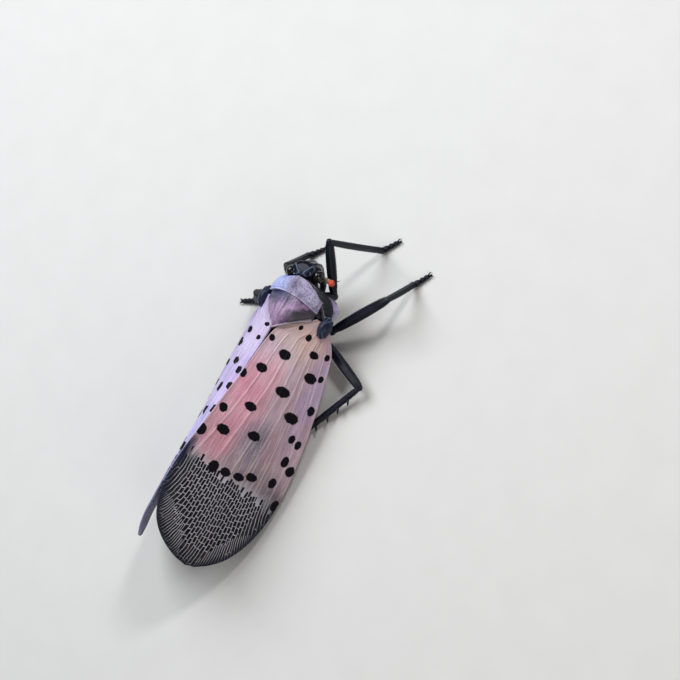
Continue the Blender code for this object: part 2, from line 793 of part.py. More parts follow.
def make_toes(name, ankle, tip, start_at):
    """Foot of three short joints, flat on the floor."""
    heading = Vector((tip.x - ankle.x, tip.y - ankle.y, 0.0)).normalized()
    start = Vector((ankle.x, ankle.y, 0.0)) + heading * start_at
    end = Vector((tip.x, tip.y, 0.0))
    side = Vector((-heading.y, heading.x, 0.0))
    rings = []
    for share, pinch in TOE_RINGS:
        half = lerp(TOE_WIDTH, TOE_TIP_WIDTH, share) / 2.0 * pinch
        tall = lerp(TOE_HEIGHT, TOE_TIP_HEIGHT, share) * pinch
        centre = start.lerp(end, share)
        ring = []
        for across, up in TOE_SECTION:
            point = centre + side * half * across
            ring.append((point.x, point.y, tall * up))
        rings.append(ring)
    make_object(name, ring_body(rings), tuple(start), "Blue-black body")


def spine_pieces(name, path, radius, side):
    """Tapered spines along the outer side of a hind tibia, their roots sunk in it."""
    pieces = []
    run = (path[-1] - path[0]).normalized()
    outward = Vector((side, 0.0, 0.0))
    outward = (outward - run * outward.dot(run)).normalized()
    lean = (outward + run * SPINE_LEAN).normalized()
    radii = [SPINE_RADIUS * thickness for _, thickness in SPINE_RINGS]
    for index, share in enumerate(SPINE_PLACES):
        root = path[0].lerp(path[-1], share) + outward * (radius - SPINE_SINK)
        tip = root + lean * SPINE_LENGTH * (1.0 + SPINE_GROWTH * (index - 1))
        points = [root.lerp(tip, place) for place, _ in SPINE_RINGS]
        rings = tube_rings(points, radii, SPINE_SIDES, round_end=False)
        pieces.append(make_object(name + " spine", ring_body(rings), tuple(root), "Blue-black body"))
    return pieces


def make_leg(leg_name):
    kind, side_name = leg_name.split("_")
    side = dict(SIDES)[side_name]
    (coxa_back, coxa_drop), hip, knee, ankle, tip = LEGS[leg_name]
    hip, knee, ankle, tip = Vector(hip), Vector(knee), Vector(ankle), Vector(tip)
    turn = -math.radians(coxa_drop)
    wall = Vector(mirrored(thorax_point(coxa_back, turn), side))
    facing = Vector(mirrored(thorax_normal(coxa_back, turn), side))
    if facing.z > 0:
        facing = -facing
    root = wall + facing * GAP

    path = limb_path(root, hip, 0.0, COXA_RINGS)
    coxa_radii = limb_radii((COXA_RADII[0], COXA_RADII[0], COXA_RADII[1]), COXA_RINGS)
    rings = tube_rings(path, coxa_radii, LEG_SIDES, start_normal=facing)
    make_object(leg_name + "_coxa", ring_body(rings), tuple(root), "Blue-black body")

    femur_radii = FEMUR_RADII[kind]
    femur_way = (knee - hip).normalized()
    begin = start_reach(root - hip, femur_way, COXA_RADII[1], COXA_RADII[1], femur_radii[0])
    start = hip + femur_way * begin
    path = limb_path(start, knee, 0.0, LIMB_RINGS)
    rings = tube_rings(path, limb_radii(femur_radii, LIMB_RINGS), LEG_SIDES)
    make_object(leg_name + "_femur", ring_body(rings), tuple(start), "Blue-black body")

    tibia_radii = TIBIA_RADII[kind]
    tibia_way = (ankle - knee).normalized()
    begin = start_reach(-femur_way, tibia_way, femur_radii[2], femur_radii[2], tibia_radii[0])
    start = knee + tibia_way * begin
    path = limb_path(start, ankle, TIBIA_BOW, LIMB_RINGS)
    rings = tube_rings(path, limb_radii(tibia_radii, LIMB_RINGS), LEG_SIDES)
    tibia = make_object(leg_name + "_tibia", ring_body(rings), tuple(start), "Blue-black body")
    if kind == "hind":
        fuse(tibia, spine_pieces(leg_name, path, tibia_radii[1], side))

    level_way = Vector((tip.x - ankle.x, tip.y - ankle.y, 0.0)).normalized()
    begin = start_reach(-tibia_way, level_way, tibia_radii[2], tibia_radii[2], TOE_HEIGHT / 2.0)
    make_toes(leg_name + "_tarsus", ankle, tip, begin)


def turn_head():
    """Turns the head with its eyes and feelers about the neck."""
    neck = bpy.data.objects.new("neck", None)
    bpy.context.scene.collection.objects.link(neck)
    neck.location = to_world(NECK)
    for part in list(bpy.data.objects):
        if part.name.startswith(("head", "eye_", "antenna_")):
            part.parent = neck
            part.location -= neck.location
    neck.rotation_euler.z = math.radians(HEAD_TURN)


def centre_on_floor(parts):
    """Hangs every piece on one empty, so that the origin lies under the middle of the box."""
    corners = [part.matrix_world @ Vector(corner) for part in parts for corner in part.bound_box]
    lows = [min(corner[axis] for corner in corners) for axis in range(3)]
    highs = [max(corner[axis] for corner in corners) for axis in range(3)]
    stand = bpy.data.objects.new("lanternfly", None)
    bpy.context.scene.collection.objects.link(stand)
    stand.location = (-(lows[0] + highs[0]) / 2.0, -(lows[1] + highs[1]) / 2.0, 0.0)
    for part in bpy.data.objects:
        if part is not stand and part.parent is None:
            part.parent = stand


def main():
    for old in list(bpy.data.objects):
        bpy.data.objects.remove(old)
    make_head()
    make_rostrum()
    make_pronotum()
    make_mesonotum()
    make_thorax()
    make_abdomen()
    for side_name, side in SIDES:
        make_eye(side_name, side)
        make_antenna(side_name, side)
        make_tegula(side_name, side)
        make_forewing(side_name, side)
        make_hindwing(side_name, side)
    for leg_name in LEGS:
        make_leg(leg_name)
    turn_head()
    bpy.context.view_layer.update()
    shown = [part for part in bpy.data.objects if part.type == "MESH" and not part.hide_render]
    centre_on_floor(shown)


main()
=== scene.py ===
# %% [markdown]
# # A spotted lanternfly at rest
#
# The real insect is a planthopper about 25 mm long. Its leathery forewings lie over the body
# like a roof, and hide red hindwings and a yellow abdomen. This lesson dresses a plain solid
# model of it: each step builds one piece of the animal finely, gives it a finish, and lets it
# stand in for the plain solids under it.
#
# The solids come first, as a frame that never moves.

# %% Load the frame
import math
import random

import bmesh
import bpy
from mathutils import Matrix, Vector


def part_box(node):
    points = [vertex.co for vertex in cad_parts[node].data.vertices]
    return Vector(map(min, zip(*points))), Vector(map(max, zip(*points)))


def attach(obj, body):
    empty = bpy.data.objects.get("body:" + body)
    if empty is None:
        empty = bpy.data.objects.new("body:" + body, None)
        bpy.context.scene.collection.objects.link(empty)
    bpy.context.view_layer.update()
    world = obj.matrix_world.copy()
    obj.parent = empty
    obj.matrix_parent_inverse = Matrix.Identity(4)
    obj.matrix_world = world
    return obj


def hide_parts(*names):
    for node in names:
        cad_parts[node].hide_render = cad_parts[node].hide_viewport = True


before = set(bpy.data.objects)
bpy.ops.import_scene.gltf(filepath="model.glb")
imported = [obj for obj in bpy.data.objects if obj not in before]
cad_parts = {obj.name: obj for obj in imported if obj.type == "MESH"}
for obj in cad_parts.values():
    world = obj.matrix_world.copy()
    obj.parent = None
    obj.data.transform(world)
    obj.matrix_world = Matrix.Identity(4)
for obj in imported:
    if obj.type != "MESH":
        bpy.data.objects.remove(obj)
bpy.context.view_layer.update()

print("Frame nodes:", len(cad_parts))

# %% [markdown]
# ## Millimetres of the insect
#
# It is easier to think in the insect's own terms: how far right of its midline, how far back
# from the middle of its head, how far up from the floor. One function turns such a point into
# the metres of the frame. The front face of the thorax and its middle give the shift.

# %% The insect's own coordinates
MM = 0.001
THORAX_FRONT_BACK = 0.74

thorax_low, thorax_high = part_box("thorax")
MIDLINE_X = (thorax_low.x + thorax_high.x) / 2.0
HEAD_Y = thorax_low.y - THORAX_FRONT_BACK * MM


def to_frame(point):
    """Turns (right, back, up) in millimetres into metres of the frame."""
    return Vector((MIDLINE_X - point[0] * MM, HEAD_Y + point[1] * MM, point[2] * MM))


def on_side(side, point):
    """The point as given for the right side, or its mirror image for side -1."""
    return (side * point[0], point[1], point[2])


SIDES = {"right": 1, "left": -1}
print("Midline and head:", round(MIDLINE_X / MM, 3), round(HEAD_Y / MM, 3), "mm")

# %% [markdown]
# ## Smooth curves through a few knots
#
# Every outline here is given by a few knots. A cubic through them, with the slope at each knot
# taken from its neighbours, gives the same curve that the solids follow, only sampled finer.

# %% Curves and small helpers


def chord_shares(knots):
    """Distance along the knots at each knot, as a share of the whole."""
    reach = [0.0]
    for first, second in zip(knots, knots[1:]):
        reach.append(reach[-1] + math.dist(first, second))
    return [value / reach[-1] for value in reach]


def smooth_point(places, knots, where):
    """Point of the cubic curve that passes each knot at its place."""
    span = 0
    while span < len(places) - 2 and where > places[span + 1]:
        span += 1
    width = places[span + 1] - places[span]
    t = (where - places[span]) / width

    def slope(index, axis):
        before, after = max(index - 1, 0), min(index + 1, len(knots) - 1)
        return (knots[after][axis] - knots[before][axis]) / (places[after] - places[before])

    result = []
    for axis in range(len(knots[0])):
        start, end = knots[span][axis], knots[span + 1][axis]
        bend = (1 - t) * slope(span, axis) - t * slope(span + 1, axis)
        result.append(start + (end - start) * (3 - 2 * t) * t * t + t * (1 - t) * width * bend)
    return result


def smooth_station(stations, where):
    """Values of a table of stations at one place, which is each station's first value."""
    places = [station[0] for station in stations]
    if places[0] > places[-1]:
        places = [-place for place in places]
        where = -where
    return smooth_point(places, [station[1:] for station in stations], where)


def shares(count):
    return [index / (count - 1) for index in range(count)]


def around(count):
    """Angles of a ring of points."""
    return [math.tau * step / count for step in range(count)]


def lerp(start, end, share):
    return start + (end - start) * share


def smooth_step(value, start, end):
    """0 before start, 1 after end, and smooth between them."""
    share = min(max((value - start) / (end - start), 0.0), 1.0)
    return share * share * (3.0 - 2.0 * share)


def bump_at(value, centre, half_width):
    """1 at the centre, falling smoothly to 0 one half width away."""
    return 1.0 - smooth_step(abs(value - centre), 0.0, half_width)


print("Quarter way between 0 and 1, smoothed:", smooth_step(0.25, 0.0, 1.0))

# %% [markdown]
# ## Meshes that carry their own map
#
# Each piece is a grid of points, closed to a tube, a plate or a ball. While its points are
# made, values are stored on them by name, such as the place on the wing. The finishes read
# those names, so spots and bands stay where they belong on every side of the model.

# %% Builders of meshes


def store(mesh, name, values):
    """Keeps one number or one vector per point on the mesh, for the finish to read."""
    is_vector = isinstance(values[0], (tuple, Vector))
    kind = "FLOAT_VECTOR" if is_vector else "FLOAT"
    layer = mesh.attributes.new(name, kind, "POINT")
    if is_vector:
        layer.data.foreach_set("vector", [part for value in values for part in value])
    else:
        layer.data.foreach_set("value", values)


def finish_piece(name, points, faces, material, stored=None, replaced=()):
    """Object of a mesh in insect millimetres, riding on the frame in place of its nodes."""
    mesh = bpy.data.meshes.new(name)
    mesh.from_pydata([to_frame(point) for point in points], [], faces)
    for key, values in (stored or {}).items():
        store(mesh, key, values)
    work = bmesh.new()
    work.from_mesh(mesh)
    bmesh.ops.recalc_face_normals(work, faces=work.faces)
    if work.calc_volume(signed=True) < 0:
        bmesh.ops.reverse_faces(work, faces=work.faces)
    work.to_mesh(mesh)
    work.free()
    mesh.shade_smooth()
    for finish in material if isinstance(material, (list, tuple)) else [material]:
        mesh.materials.append(finish)
    piece = bpy.data.objects.new(name, mesh)
    bpy.context.scene.collection.objects.link(piece)
    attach(piece, "root")
    if replaced:
        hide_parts(*replaced)
    print(name, "has", len(mesh.polygons), "faces")
    return piece


def tube_faces(ring_count, side_count, first=0):
    """Faces of a closed tube of rings; both ends are closed by one face."""
    faces = []
    for ring in range(ring_count - 1):
        for side in range(side_count):
            beside = (side + 1) % side_count
            low, high = first + ring * side_count, first + (ring + 1) * side_count
            faces.append((low + side, low + beside, high + beside, high + side))
    faces.append(tuple(first + side for side in reversed(range(side_count))))
    faces.append(tuple(first + (ring_count - 1) * side_count + side for side in range(side_count)))
    return faces


def plate_faces(rows, columns):
    """Faces of a closed plate: an outer grid, then an inner grid of the same size."""
    faces = []
    under = rows * columns
    for row in range(rows - 1):
        for column in range(columns - 1):
            a = row * columns + column
            faces.append((a, a + columns, a + columns + 1, a + 1))
            faces.append((under + a, under + a + 1, under + a + columns + 1, under + a + columns))
    rim = [column for column in range(columns)]
    rim += [row * columns + columns - 1 for row in range(1, rows)]
    rim += [(rows - 1) * columns + column for column in range(columns - 2, -1, -1)]
    rim += [row * columns for row in range(rows - 2, 0, -1)]
    for index, corner in enumerate(rim):
        following = rim[(index + 1) % len(rim)]
        faces.append((corner, following, under + following, under + corner))
    return faces


# %% [markdown]
# ## A short way to write shader nodes
#
# A finish is a tree of nodes. These helpers add one node each and return its output, so that
# a finish reads like a few lines of sums. Effects that several finishes share are built once
# as node groups with named sockets.

# %% Helpers for shader nodes


def put(tree, socket, value):
    """Links a value to a socket, or sets the socket where the value is a constant."""
    if isinstance(value, bpy.types.NodeSocket):
        tree.links.new(value, socket)
    else:
        socket.default_value = value


def feed(tree, node, values):
    """Fills the first inputs of a node, in order."""
    for socket, value in zip(node.inputs, values):
        put(tree, socket, value)


def wire(tree, node, **values):
    """Fills inputs of a node by name; underscores in a name stand for spaces."""
    for key, value in values.items():
        put(tree, node.inputs[key.replace("_", " ")], value)


def sums(tree, operation, *values):
    node = tree.nodes.new("ShaderNodeMath")
    node.operation = operation
    feed(tree, node, values)
    return node.outputs[0]


def ramp(tree, value, start, end, low=0.0, high=1.0):
    """Smooth step of a value from low at start to high at end."""
    node = tree.nodes.new("ShaderNodeMapRange")
    node.interpolation_type = "SMOOTHSTEP"
    feed(tree, node, (value, start, end, low, high))
    return node.outputs[0]


def mixed(tree, mask, first, second, mode="MIX"):
    """Colour that turns from first to second as the mask goes from 0 to 1."""
    node = tree.nodes.new("ShaderNodeMix")
    node.data_type = "RGBA"
    node.blend_type = mode
    for index, value in ((0, mask), (6, first), (7, second)):
        if isinstance(value, bpy.types.NodeSocket):
            tree.links.new(value, node.inputs[index])
        elif index:
            node.inputs[index].default_value = (*value, 1.0)
        else:
            node.inputs[index].default_value = value
    return node.outputs[2]


def vector_sums(tree, operation, *values):
    node = tree.nodes.new("ShaderNodeVectorMath")
    node.operation = operation
    feed(tree, node, values)
    return node.outputs["Value" if operation == "LENGTH" else "Vector"]


def stretched(tree, place, scale):
    """The place with each axis scaled, for patterns that run one way."""
    return vector_sums(tree, "MULTIPLY", place, scale)


def noise_at(tree, place, scale, detail=3.0, roughness=0.5):
    node = tree.nodes.new("ShaderNodeTexNoise")
    wire(tree, node, Vector=place, Scale=scale, Detail=detail, Roughness=roughness)
    return node.outputs[0]


def drift_at(tree, place, scale, detail=3.0):
    """Noise that swings to both sides of zero, for lines that wander."""
    return sums(tree, "SUBTRACT", noise_at(tree, place, scale, detail), 0.5)


def to_nearest(tree, place, scale, randomness=1.0):
    """Distance to the nearest of many scattered points, for pits, grains and dots."""
    node = tree.nodes.new("ShaderNodeTexVoronoi")
    wire(tree, node, Vector=place, Scale=scale, Randomness=randomness)
    return node.outputs["Distance"]


def split(tree, vector):
    node = tree.nodes.new("ShaderNodeSeparateXYZ")
    tree.links.new(vector, node.inputs[0])
    return node.outputs[0], node.outputs[1], node.outputs[2]


def joined(tree, x, y, z=0.0):
    node = tree.nodes.new("ShaderNodeCombineXYZ")
    feed(tree, node, (x, y, z))
    return node.outputs[0]


def stored_value(tree, name, is_vector=False):
    node = tree.nodes.new("ShaderNodeAttribute")
    node.attribute_name = name
    return node.outputs["Vector" if is_vector else "Fac"]


def place_on(tree):
    """Place in the frame, in millimetres."""
    node = tree.nodes.new("ShaderNodeTexCoord")
    return stretched(tree, node.outputs["Object"], (1.0 / MM, 1.0 / MM, 1.0 / MM))


def bumped(tree, height, distance, strength=1.0):
    node = tree.nodes.new("ShaderNodeBump")
    wire(tree, node, Distance=distance * MM, Strength=strength, Height=height)
    return node.outputs[0]


def new_group(name, takes, gives):
    """Node group with named sockets; returns its tree, its inputs and its output node."""
    tree = bpy.data.node_groups.new(name, "ShaderNodeTree")
    for way, sockets in (("INPUT", takes), ("OUTPUT", gives)):
        for socket_name, kind in sockets.items():
            socket_type = "NodeSocket" + (kind if isinstance(kind, str) else "Float")
            socket = tree.interface.new_socket(socket_name, in_out=way, socket_type=socket_type)
            if not isinstance(kind, str):
                socket.default_value = kind
    start = tree.nodes.new("NodeGroupInput")
    end = tree.nodes.new("NodeGroupOutput")
    return tree, start.outputs, end


def use_group(tree, name, **values):
    """Places a node group and fills its inputs."""
    node = tree.nodes.new("ShaderNodeGroup")
    node.node_tree = bpy.data.node_groups[name]
    wire(tree, node, **values)
    return node.outputs


def new_finish(name, **constants):
    """Material with one Principled shader whose constants are set on its own sockets."""
    material = bpy.data.materials.new(name)
    material.use_nodes = True
    shader = material.node_tree.nodes["Principled BSDF"]
    wire(material.node_tree, shader, **constants)
    return material, material.node_tree, shader


HELPERS = (sums, ramp, mixed, vector_sums, noise_at, drift_at, to_nearest, split, joined, bumped)
print("Shader helpers:", ", ".join(helper.__name__ for helper in HELPERS))

# %% [markdown]
# ## Shared effects
#
# Four effects return on many pieces: a spot of pigment with a slightly wavy rim, a soft zone
# of tint, a patchy bloom of wax, and the fine pits and wrinkles of insect shell. Each is a
# node group, so that one change reaches every finish that uses it.

# %% Node groups for spots, tints, wax and shell


def build_spot_group():
    """Mask of one oval spot, given in millimetres on the wing."""
    takes = {"Place": "Vector", "Middle": "Vector", "Half length": 0.4, "Half width": 0.3,
             "Wobble": 0.5}
    tree, takes, end = new_group("Spot", takes, {"Mask": 0.0})
    away = vector_sums(tree, "SUBTRACT", takes["Place"], takes["Middle"])
    along, across, _ = split(tree, away)
    along = sums(tree, "DIVIDE", along, takes["Half length"])
    across = sums(tree, "DIVIDE", across, takes["Half width"])
    reach = sums(tree, "SQRT", sums(tree, "ADD", sums(tree, "MULTIPLY", along, along),
                                    sums(tree, "MULTIPLY", across, across)))
    reach = sums(tree, "ADD", reach, takes["Wobble"])
    wire(tree, end, Mask=ramp(tree, reach, 1.12, 0.92))


def build_tint_group():
    """Soft mask of an oval zone, given in millimetres on the wing."""
    takes = {"Place": "Vector", "Middle": "Vector", "Reach": "Vector"}
    tree, takes, end = new_group("Tint zone", takes, {"Mask": 0.0})
    away = vector_sums(tree, "SUBTRACT", takes["Place"], takes["Middle"])
    scaled = vector_sums(tree, "DIVIDE", away, takes["Reach"])
    wire(tree, end, Mask=ramp(tree, vector_sums(tree, "LENGTH", scaled), 1.0, 0.2))


def build_wax_group():
    """Patchy dusting of wax: large clouds broken up by fine grains."""
    takes = {"Place": "Vector", "Cloud size": 1.5, "Grain size": 0.08, "Amount": 0.5}
    tree, takes, end = new_group("Wax bloom", takes, {"Mask": 0.0, "Grain": 0.0})
    cloud_scale = sums(tree, "DIVIDE", 1.0, takes["Cloud size"])
    grain_scale = sums(tree, "DIVIDE", 1.0, takes["Grain size"])
    clouds = noise_at(tree, takes["Place"], cloud_scale, 2.0)
    grains = noise_at(tree, takes["Place"], grain_scale, 2.0, 0.7)
    cloudy = ramp(tree, clouds, 0.32, 0.68)
    dusted = sums(tree, "MULTIPLY", cloudy, ramp(tree, grains, 0.30, 0.62))
    wire(tree, end, Mask=sums(tree, "MULTIPLY", dusted, takes["Amount"]), Grain=grains)


def build_shell_group():
    """Height of shell: scattered pits and fine wrinkles."""
    takes = {"Place": "Vector", "Pit spacing": 0.25, "Pit depth": 0.6, "Wrinkles": 0.4}
    tree, takes, end = new_group("Pitted shell", takes, {"Height": 0.0, "Pits": 0.0})
    pit_scale = sums(tree, "DIVIDE", 1.0, takes["Pit spacing"])
    pits = ramp(tree, to_nearest(tree, takes["Place"], pit_scale), 0.38, 0.10)
    wrinkles = noise_at(tree, takes["Place"], 6.0, 4.0, 0.6)
    height = sums(tree, "SUBTRACT", sums(tree, "MULTIPLY", wrinkles, takes["Wrinkles"]),
                  sums(tree, "MULTIPLY", pits, takes["Pit depth"]))
    wire(tree, end, Height=height, Pits=pits)


for build in (build_spot_group, build_tint_group, build_wax_group, build_shell_group):
    build()
print("Shared effects:", ", ".join(sorted(group.name for group in bpy.data.node_groups)))

# %% [markdown]
# ## The net of the wing tip
#
# The outer third of the forewing is a net: dark cells like bricks, laid in rows along the wing,
# between thin pale veins. Toward the margin the rows fan out and fork, and the cells grow long
# and narrow. The group works on the wing's own millimetres. It bends the rows, doubles their
# number wherever they would grow too wide, shifts every other row by half a cell, and asks of
# each cell's middle whether it lies beyond the line where the net starts, so that the net
# begins with whole cells.

# %% Node group for the net
NET_START = 16.6
NET_LENGTH = 7.0
NET_MIDLINE = 2.2
NET_FAN = 0.20
ROW_SPACING = 0.25
CELL_LENGTH = 0.47
CELL_LENGTH_SPREAD = 0.14


def chance_of(tree, dimensions, *counts):
    """Random number that is the same wherever the counts are the same."""
    node = tree.nodes.new("ShaderNodeTexWhiteNoise")
    node.noise_dimensions = dimensions
    wire(tree, node, Vector=joined(tree, *counts))
    return node.outputs["Value"]


def build_net_group():
    takes = {"Along": 0.0, "Across": 0.0, "Margin": 5.0, "Vein width": 0.07, "Ragged": 0.5}
    gives = {"Cells": 0.0, "Tone": 0.0, "Beyond start": 0.0}
    tree, takes, end = new_group("Vein net", takes, gives)
    place = joined(tree, takes["Along"], takes["Across"])
    wave = drift_at(tree, place, 1.1, 1.0)
    reach = sums(tree, "DIVIDE", sums(tree, "SUBTRACT", takes["Along"], NET_START), NET_LENGTH)
    reach = sums(tree, "MAXIMUM", reach, 0.0)
    off_line = sums(tree, "SUBTRACT", takes["Across"], NET_MIDLINE)
    off_line = sums(tree, "MULTIPLY_ADD", wave, 0.22, off_line)
    # Rows bend outward more, the further they run from the middle of the wing
    bend = sums(tree, "MULTIPLY", sums(tree, "MULTIPLY", reach, reach), NET_FAN)
    bend = sums(tree, "MULTIPLY_ADD", sums(tree, "ABSOLUTE", off_line), bend, 1.0)
    spread = sums(tree, "MULTIPLY", bend, bend)
    row_place = sums(tree, "DIVIDE", off_line, sums(tree, "MULTIPLY", bend, ROW_SPACING))
    # Rows fork where they have spread, and cells grow long close to the margin
    near_margin = ramp(tree, takes["Margin"], 1.3, 0.5)
    forks = sums(tree, "ADD", sums(tree, "LOGARITHM", spread, 2.0), 0.45)
    forks = sums(tree, "FLOOR", forks)
    row_place = sums(tree, "MULTIPLY", row_place, sums(tree, "POWER", 2.0, forks))
    row = sums(tree, "FLOOR", row_place)
    in_row = sums(tree, "FRACT", row_place)
    spacing = sums(tree, "MULTIPLY", spread, ROW_SPACING)
    spacing = sums(tree, "DIVIDE", spacing, sums(tree, "POWER", 2.0, forks))

    chance = chance_of(tree, "2D", row, forks)
    length = sums(tree, "MULTIPLY_ADD", chance, CELL_LENGTH_SPREAD,
                  CELL_LENGTH)
    length = sums(tree, "MULTIPLY", length, sums(tree, "MULTIPLY_ADD", near_margin, 1.6, 1.0))
    odd = sums(tree, "MULTIPLY", sums(tree, "FLOORED_MODULO", row, 2.0), 0.5)
    shift = sums(tree, "MULTIPLY_ADD", chance, 0.35, odd)
    cell_place = sums(tree, "ADD", sums(tree, "DIVIDE", takes["Along"], length), shift)
    cell_place = sums(tree, "MULTIPLY_ADD", wave, 0.6, cell_place)
    cell = sums(tree, "FLOOR", cell_place)
    in_cell = sums(tree, "FRACT", cell_place)

    half_vein = sums(tree, "MULTIPLY", takes["Vein width"], 0.5)

    def inside(fraction, size):
        """1 away from both ends of a fraction that spans the given millimetres."""
        to_edge = sums(tree, "SUBTRACT", 0.5, sums(tree, "ABSOLUTE",
                                                   sums(tree, "SUBTRACT", fraction, 0.5)))
        to_edge = sums(tree, "MULTIPLY", to_edge, size)
        past = sums(tree, "SUBTRACT", to_edge, half_vein)
        return ramp(tree, past, -0.018, 0.018)

    middle = sums(tree, "SUBTRACT", sums(tree, "ADD", cell, 0.5), shift)
    middle = sums(tree, "MULTIPLY", middle, length)
    line = sums(tree, "MULTIPLY_ADD", takes["Across"], -0.13, NET_START + 0.45)
    tone = chance_of(tree, "3D", row, cell, forks)
    rough_line = sums(tree, "MULTIPLY_ADD", tone, takes["Ragged"], line)
    started = sums(tree, "GREATER_THAN", middle, rough_line)
    cells = sums(tree, "MULTIPLY", inside(in_row, spacing), inside(in_cell, length))
    past_line = sums(tree, "SUBTRACT", takes["Along"], line)
    wire(tree, end, Cells=sums(tree, "MULTIPLY", cells, started), Tone=tone,
         Beyond_start=ramp(tree, past_line, -0.6, 1.0))


build_net_group()
print("Net: rows every", ROW_SPACING, "mm, cells about", CELL_LENGTH, "mm long")

# %% [markdown]
# ## Shape of the forewings
#
# A forewing is a stiff membrane hung between two edges: the outer edge runs low along the
# body, the inner edge forms the ridge of the roof. Straight lines between both edges, swollen
# a little outward, give the skin. The left wing sits a little lower and further in, as in the
# photo. The wing is built from rows of points with its main veins raised, then closed by an
# inner skin a fraction of a millimetre below.

# %% Forewing outline
COSTAL_EDGE = (
    (3.30, 3.30, 3.55),
    (3.66, 4.15, 2.98),
    (4.10, 5.20, 2.52),
    (4.45, 7.40, 2.02),
    (4.84, 10.10, 1.55),
    (5.20, 14.80, 0.92),
    (5.15, 18.00, 0.78),
    (4.80, 20.60, 1.05),
    (4.20, 22.60, 1.80),
    (3.45, 23.75, 2.60),
    (2.80, 24.40, 3.55),
)
SUTURAL_EDGE = (
    (2.45, 3.15, 4.34),
    (1.45, 4.08, 4.98),
    (0.30, 5.04, 5.50),
    (0.22, 9.40, 6.75),
    (0.20, 13.00, 7.75),
    (0.25, 17.00, 8.90),
    (0.42, 19.60, 9.25),
    (0.82, 21.80, 8.70),
    (1.30, 23.20, 7.40),
    (1.90, 24.15, 5.60),
    (2.45, 24.52, 4.25),
)
WING_BULGE = {1: 0.32, -1: 0.26}
LEFT_WING_TUCK = 0.50
LEFT_WING_DROP = 0.50
LEFT_WING_OVERLAP = 0.36
COSTAL_PLACES = chord_shares(COSTAL_EDGE)
SUTURAL_PLACES = chord_shares(SUTURAL_EDGE)


def wing_edges(side, along):
    """Points of the outer and of the inner edge, one share of the way along the wing."""
    outer = Vector(smooth_point(COSTAL_PLACES, COSTAL_EDGE, along))
    inner = Vector(smooth_point(SUTURAL_PLACES, SUTURAL_EDGE, along))
    if side < 0:
        tuck = math.sin(math.pi / 2.0 * along) * (1.0 - smooth_step(along, 0.70, 1.0))
        outer.x -= LEFT_WING_TUCK * tuck
        inner.z -= LEFT_WING_DROP * math.sin(math.pi * along ** 2)
        overlap = smooth_step(along, 0.12, 0.35) * (1.0 - smooth_step(along, 0.75, 1.0))
        inner.x -= LEFT_WING_OVERLAP * overlap
    return outer, inner


def wing_row(side, along):
    """Both edges, the way the wing faces, and its swelling, at one share along it."""
    outer, inner = wing_edges(side, along)
    low, high = max(along - 0.01, 0.0), min(along + 0.01, 1.0)
    before, after = wing_edges(side, low), wing_edges(side, high)
    lengthwise = after[0] + after[1] - before[0] - before[1]
    facing = lengthwise.cross(inner - outer).normalized()
    swelling = WING_BULGE[side] * math.sqrt(max(4.0 * along * (1.0 - along), 0.0))
    return outer, inner, facing if facing.z > 0 else -facing, swelling


# The wing's own plane: along is the distance back, across climbs from outer to inner edge
RISE_RIGHT = -0.59
RISE_UP = 0.807


def wing_place(point, across):
    """Place on the wing in millimetres, with the share across it as a third value."""
    return (point.y, RISE_RIGHT * point.x + RISE_UP * point.z, across)


print("Inner edge of a forewing:", round(math.dist(SUTURAL_EDGE[0], SUTURAL_EDGE[-1]), 1), "mm")

# %% [markdown]
# ## Main veins and the margin
#
# Five main veins leave the base, and most fork on the way. Each is drawn as a run of points
# (share along, share across), and the skin is lifted near it. The distance from the margin is
# stored as well, since the net reads it.

# %% Build the forewings
MAIN_VEINS = (
    ((0.02, 0.13), (0.30, 0.11), (0.75, 0.10)),
    ((0.02, 0.32), (0.30, 0.28), (0.52, 0.27), (0.78, 0.24)),
    ((0.02, 0.34), (0.26, 0.36), (0.50, 0.40), (0.78, 0.41)),
    ((0.02, 0.48), (0.22, 0.49), (0.50, 0.53), (0.78, 0.56)),
    ((0.05, 0.62), (0.30, 0.66), (0.55, 0.72), (0.78, 0.76)),
    ((0.12, 0.80), (0.40, 0.85), (0.62, 0.93)),
)
VEIN_HALF_WIDTH = 0.011
VEIN_LIFT = 0.075
WING_ROWS = 230
WING_COLUMNS = 110
MEMBRANE = 0.13
RIM_LIFT = 0.05
# Distances from the margin are worked out only behind this place
MARGIN_START = 14.0
FAR_FROM_MARGIN = 9.0
MARGIN_SAMPLES = 60


def vein_lift(along, across):
    """Height of the main veins over the membrane, in millimetres."""
    lift = 0.0
    for vein in MAIN_VEINS:
        if vein[0][0] <= along <= vein[-1][0]:
            middle = smooth_point([knot[0] for knot in vein], [knot[1:] for knot in vein], along)[0]
            fade = smooth_step(along, 0.02, 0.08) * (1.0 - smooth_step(along, 0.62, 0.78))
            lift = max(lift, bump_at(across, middle, VEIN_HALF_WIDTH) * fade)
    return lift * VEIN_LIFT


def margin_reach(side):
    """Function that gives the distance of a place from the outline of the wing's outer half."""
    outline = []
    for along in [0.45 + 0.55 * share for share in shares(MARGIN_SAMPLES)]:
        for across, edge in zip((0.0, 1.0), wing_edges(side, along)):
            outline.append(Vector(wing_place(edge, across)[:2]))
    return lambda spot: min((spot - point).length for point in outline)


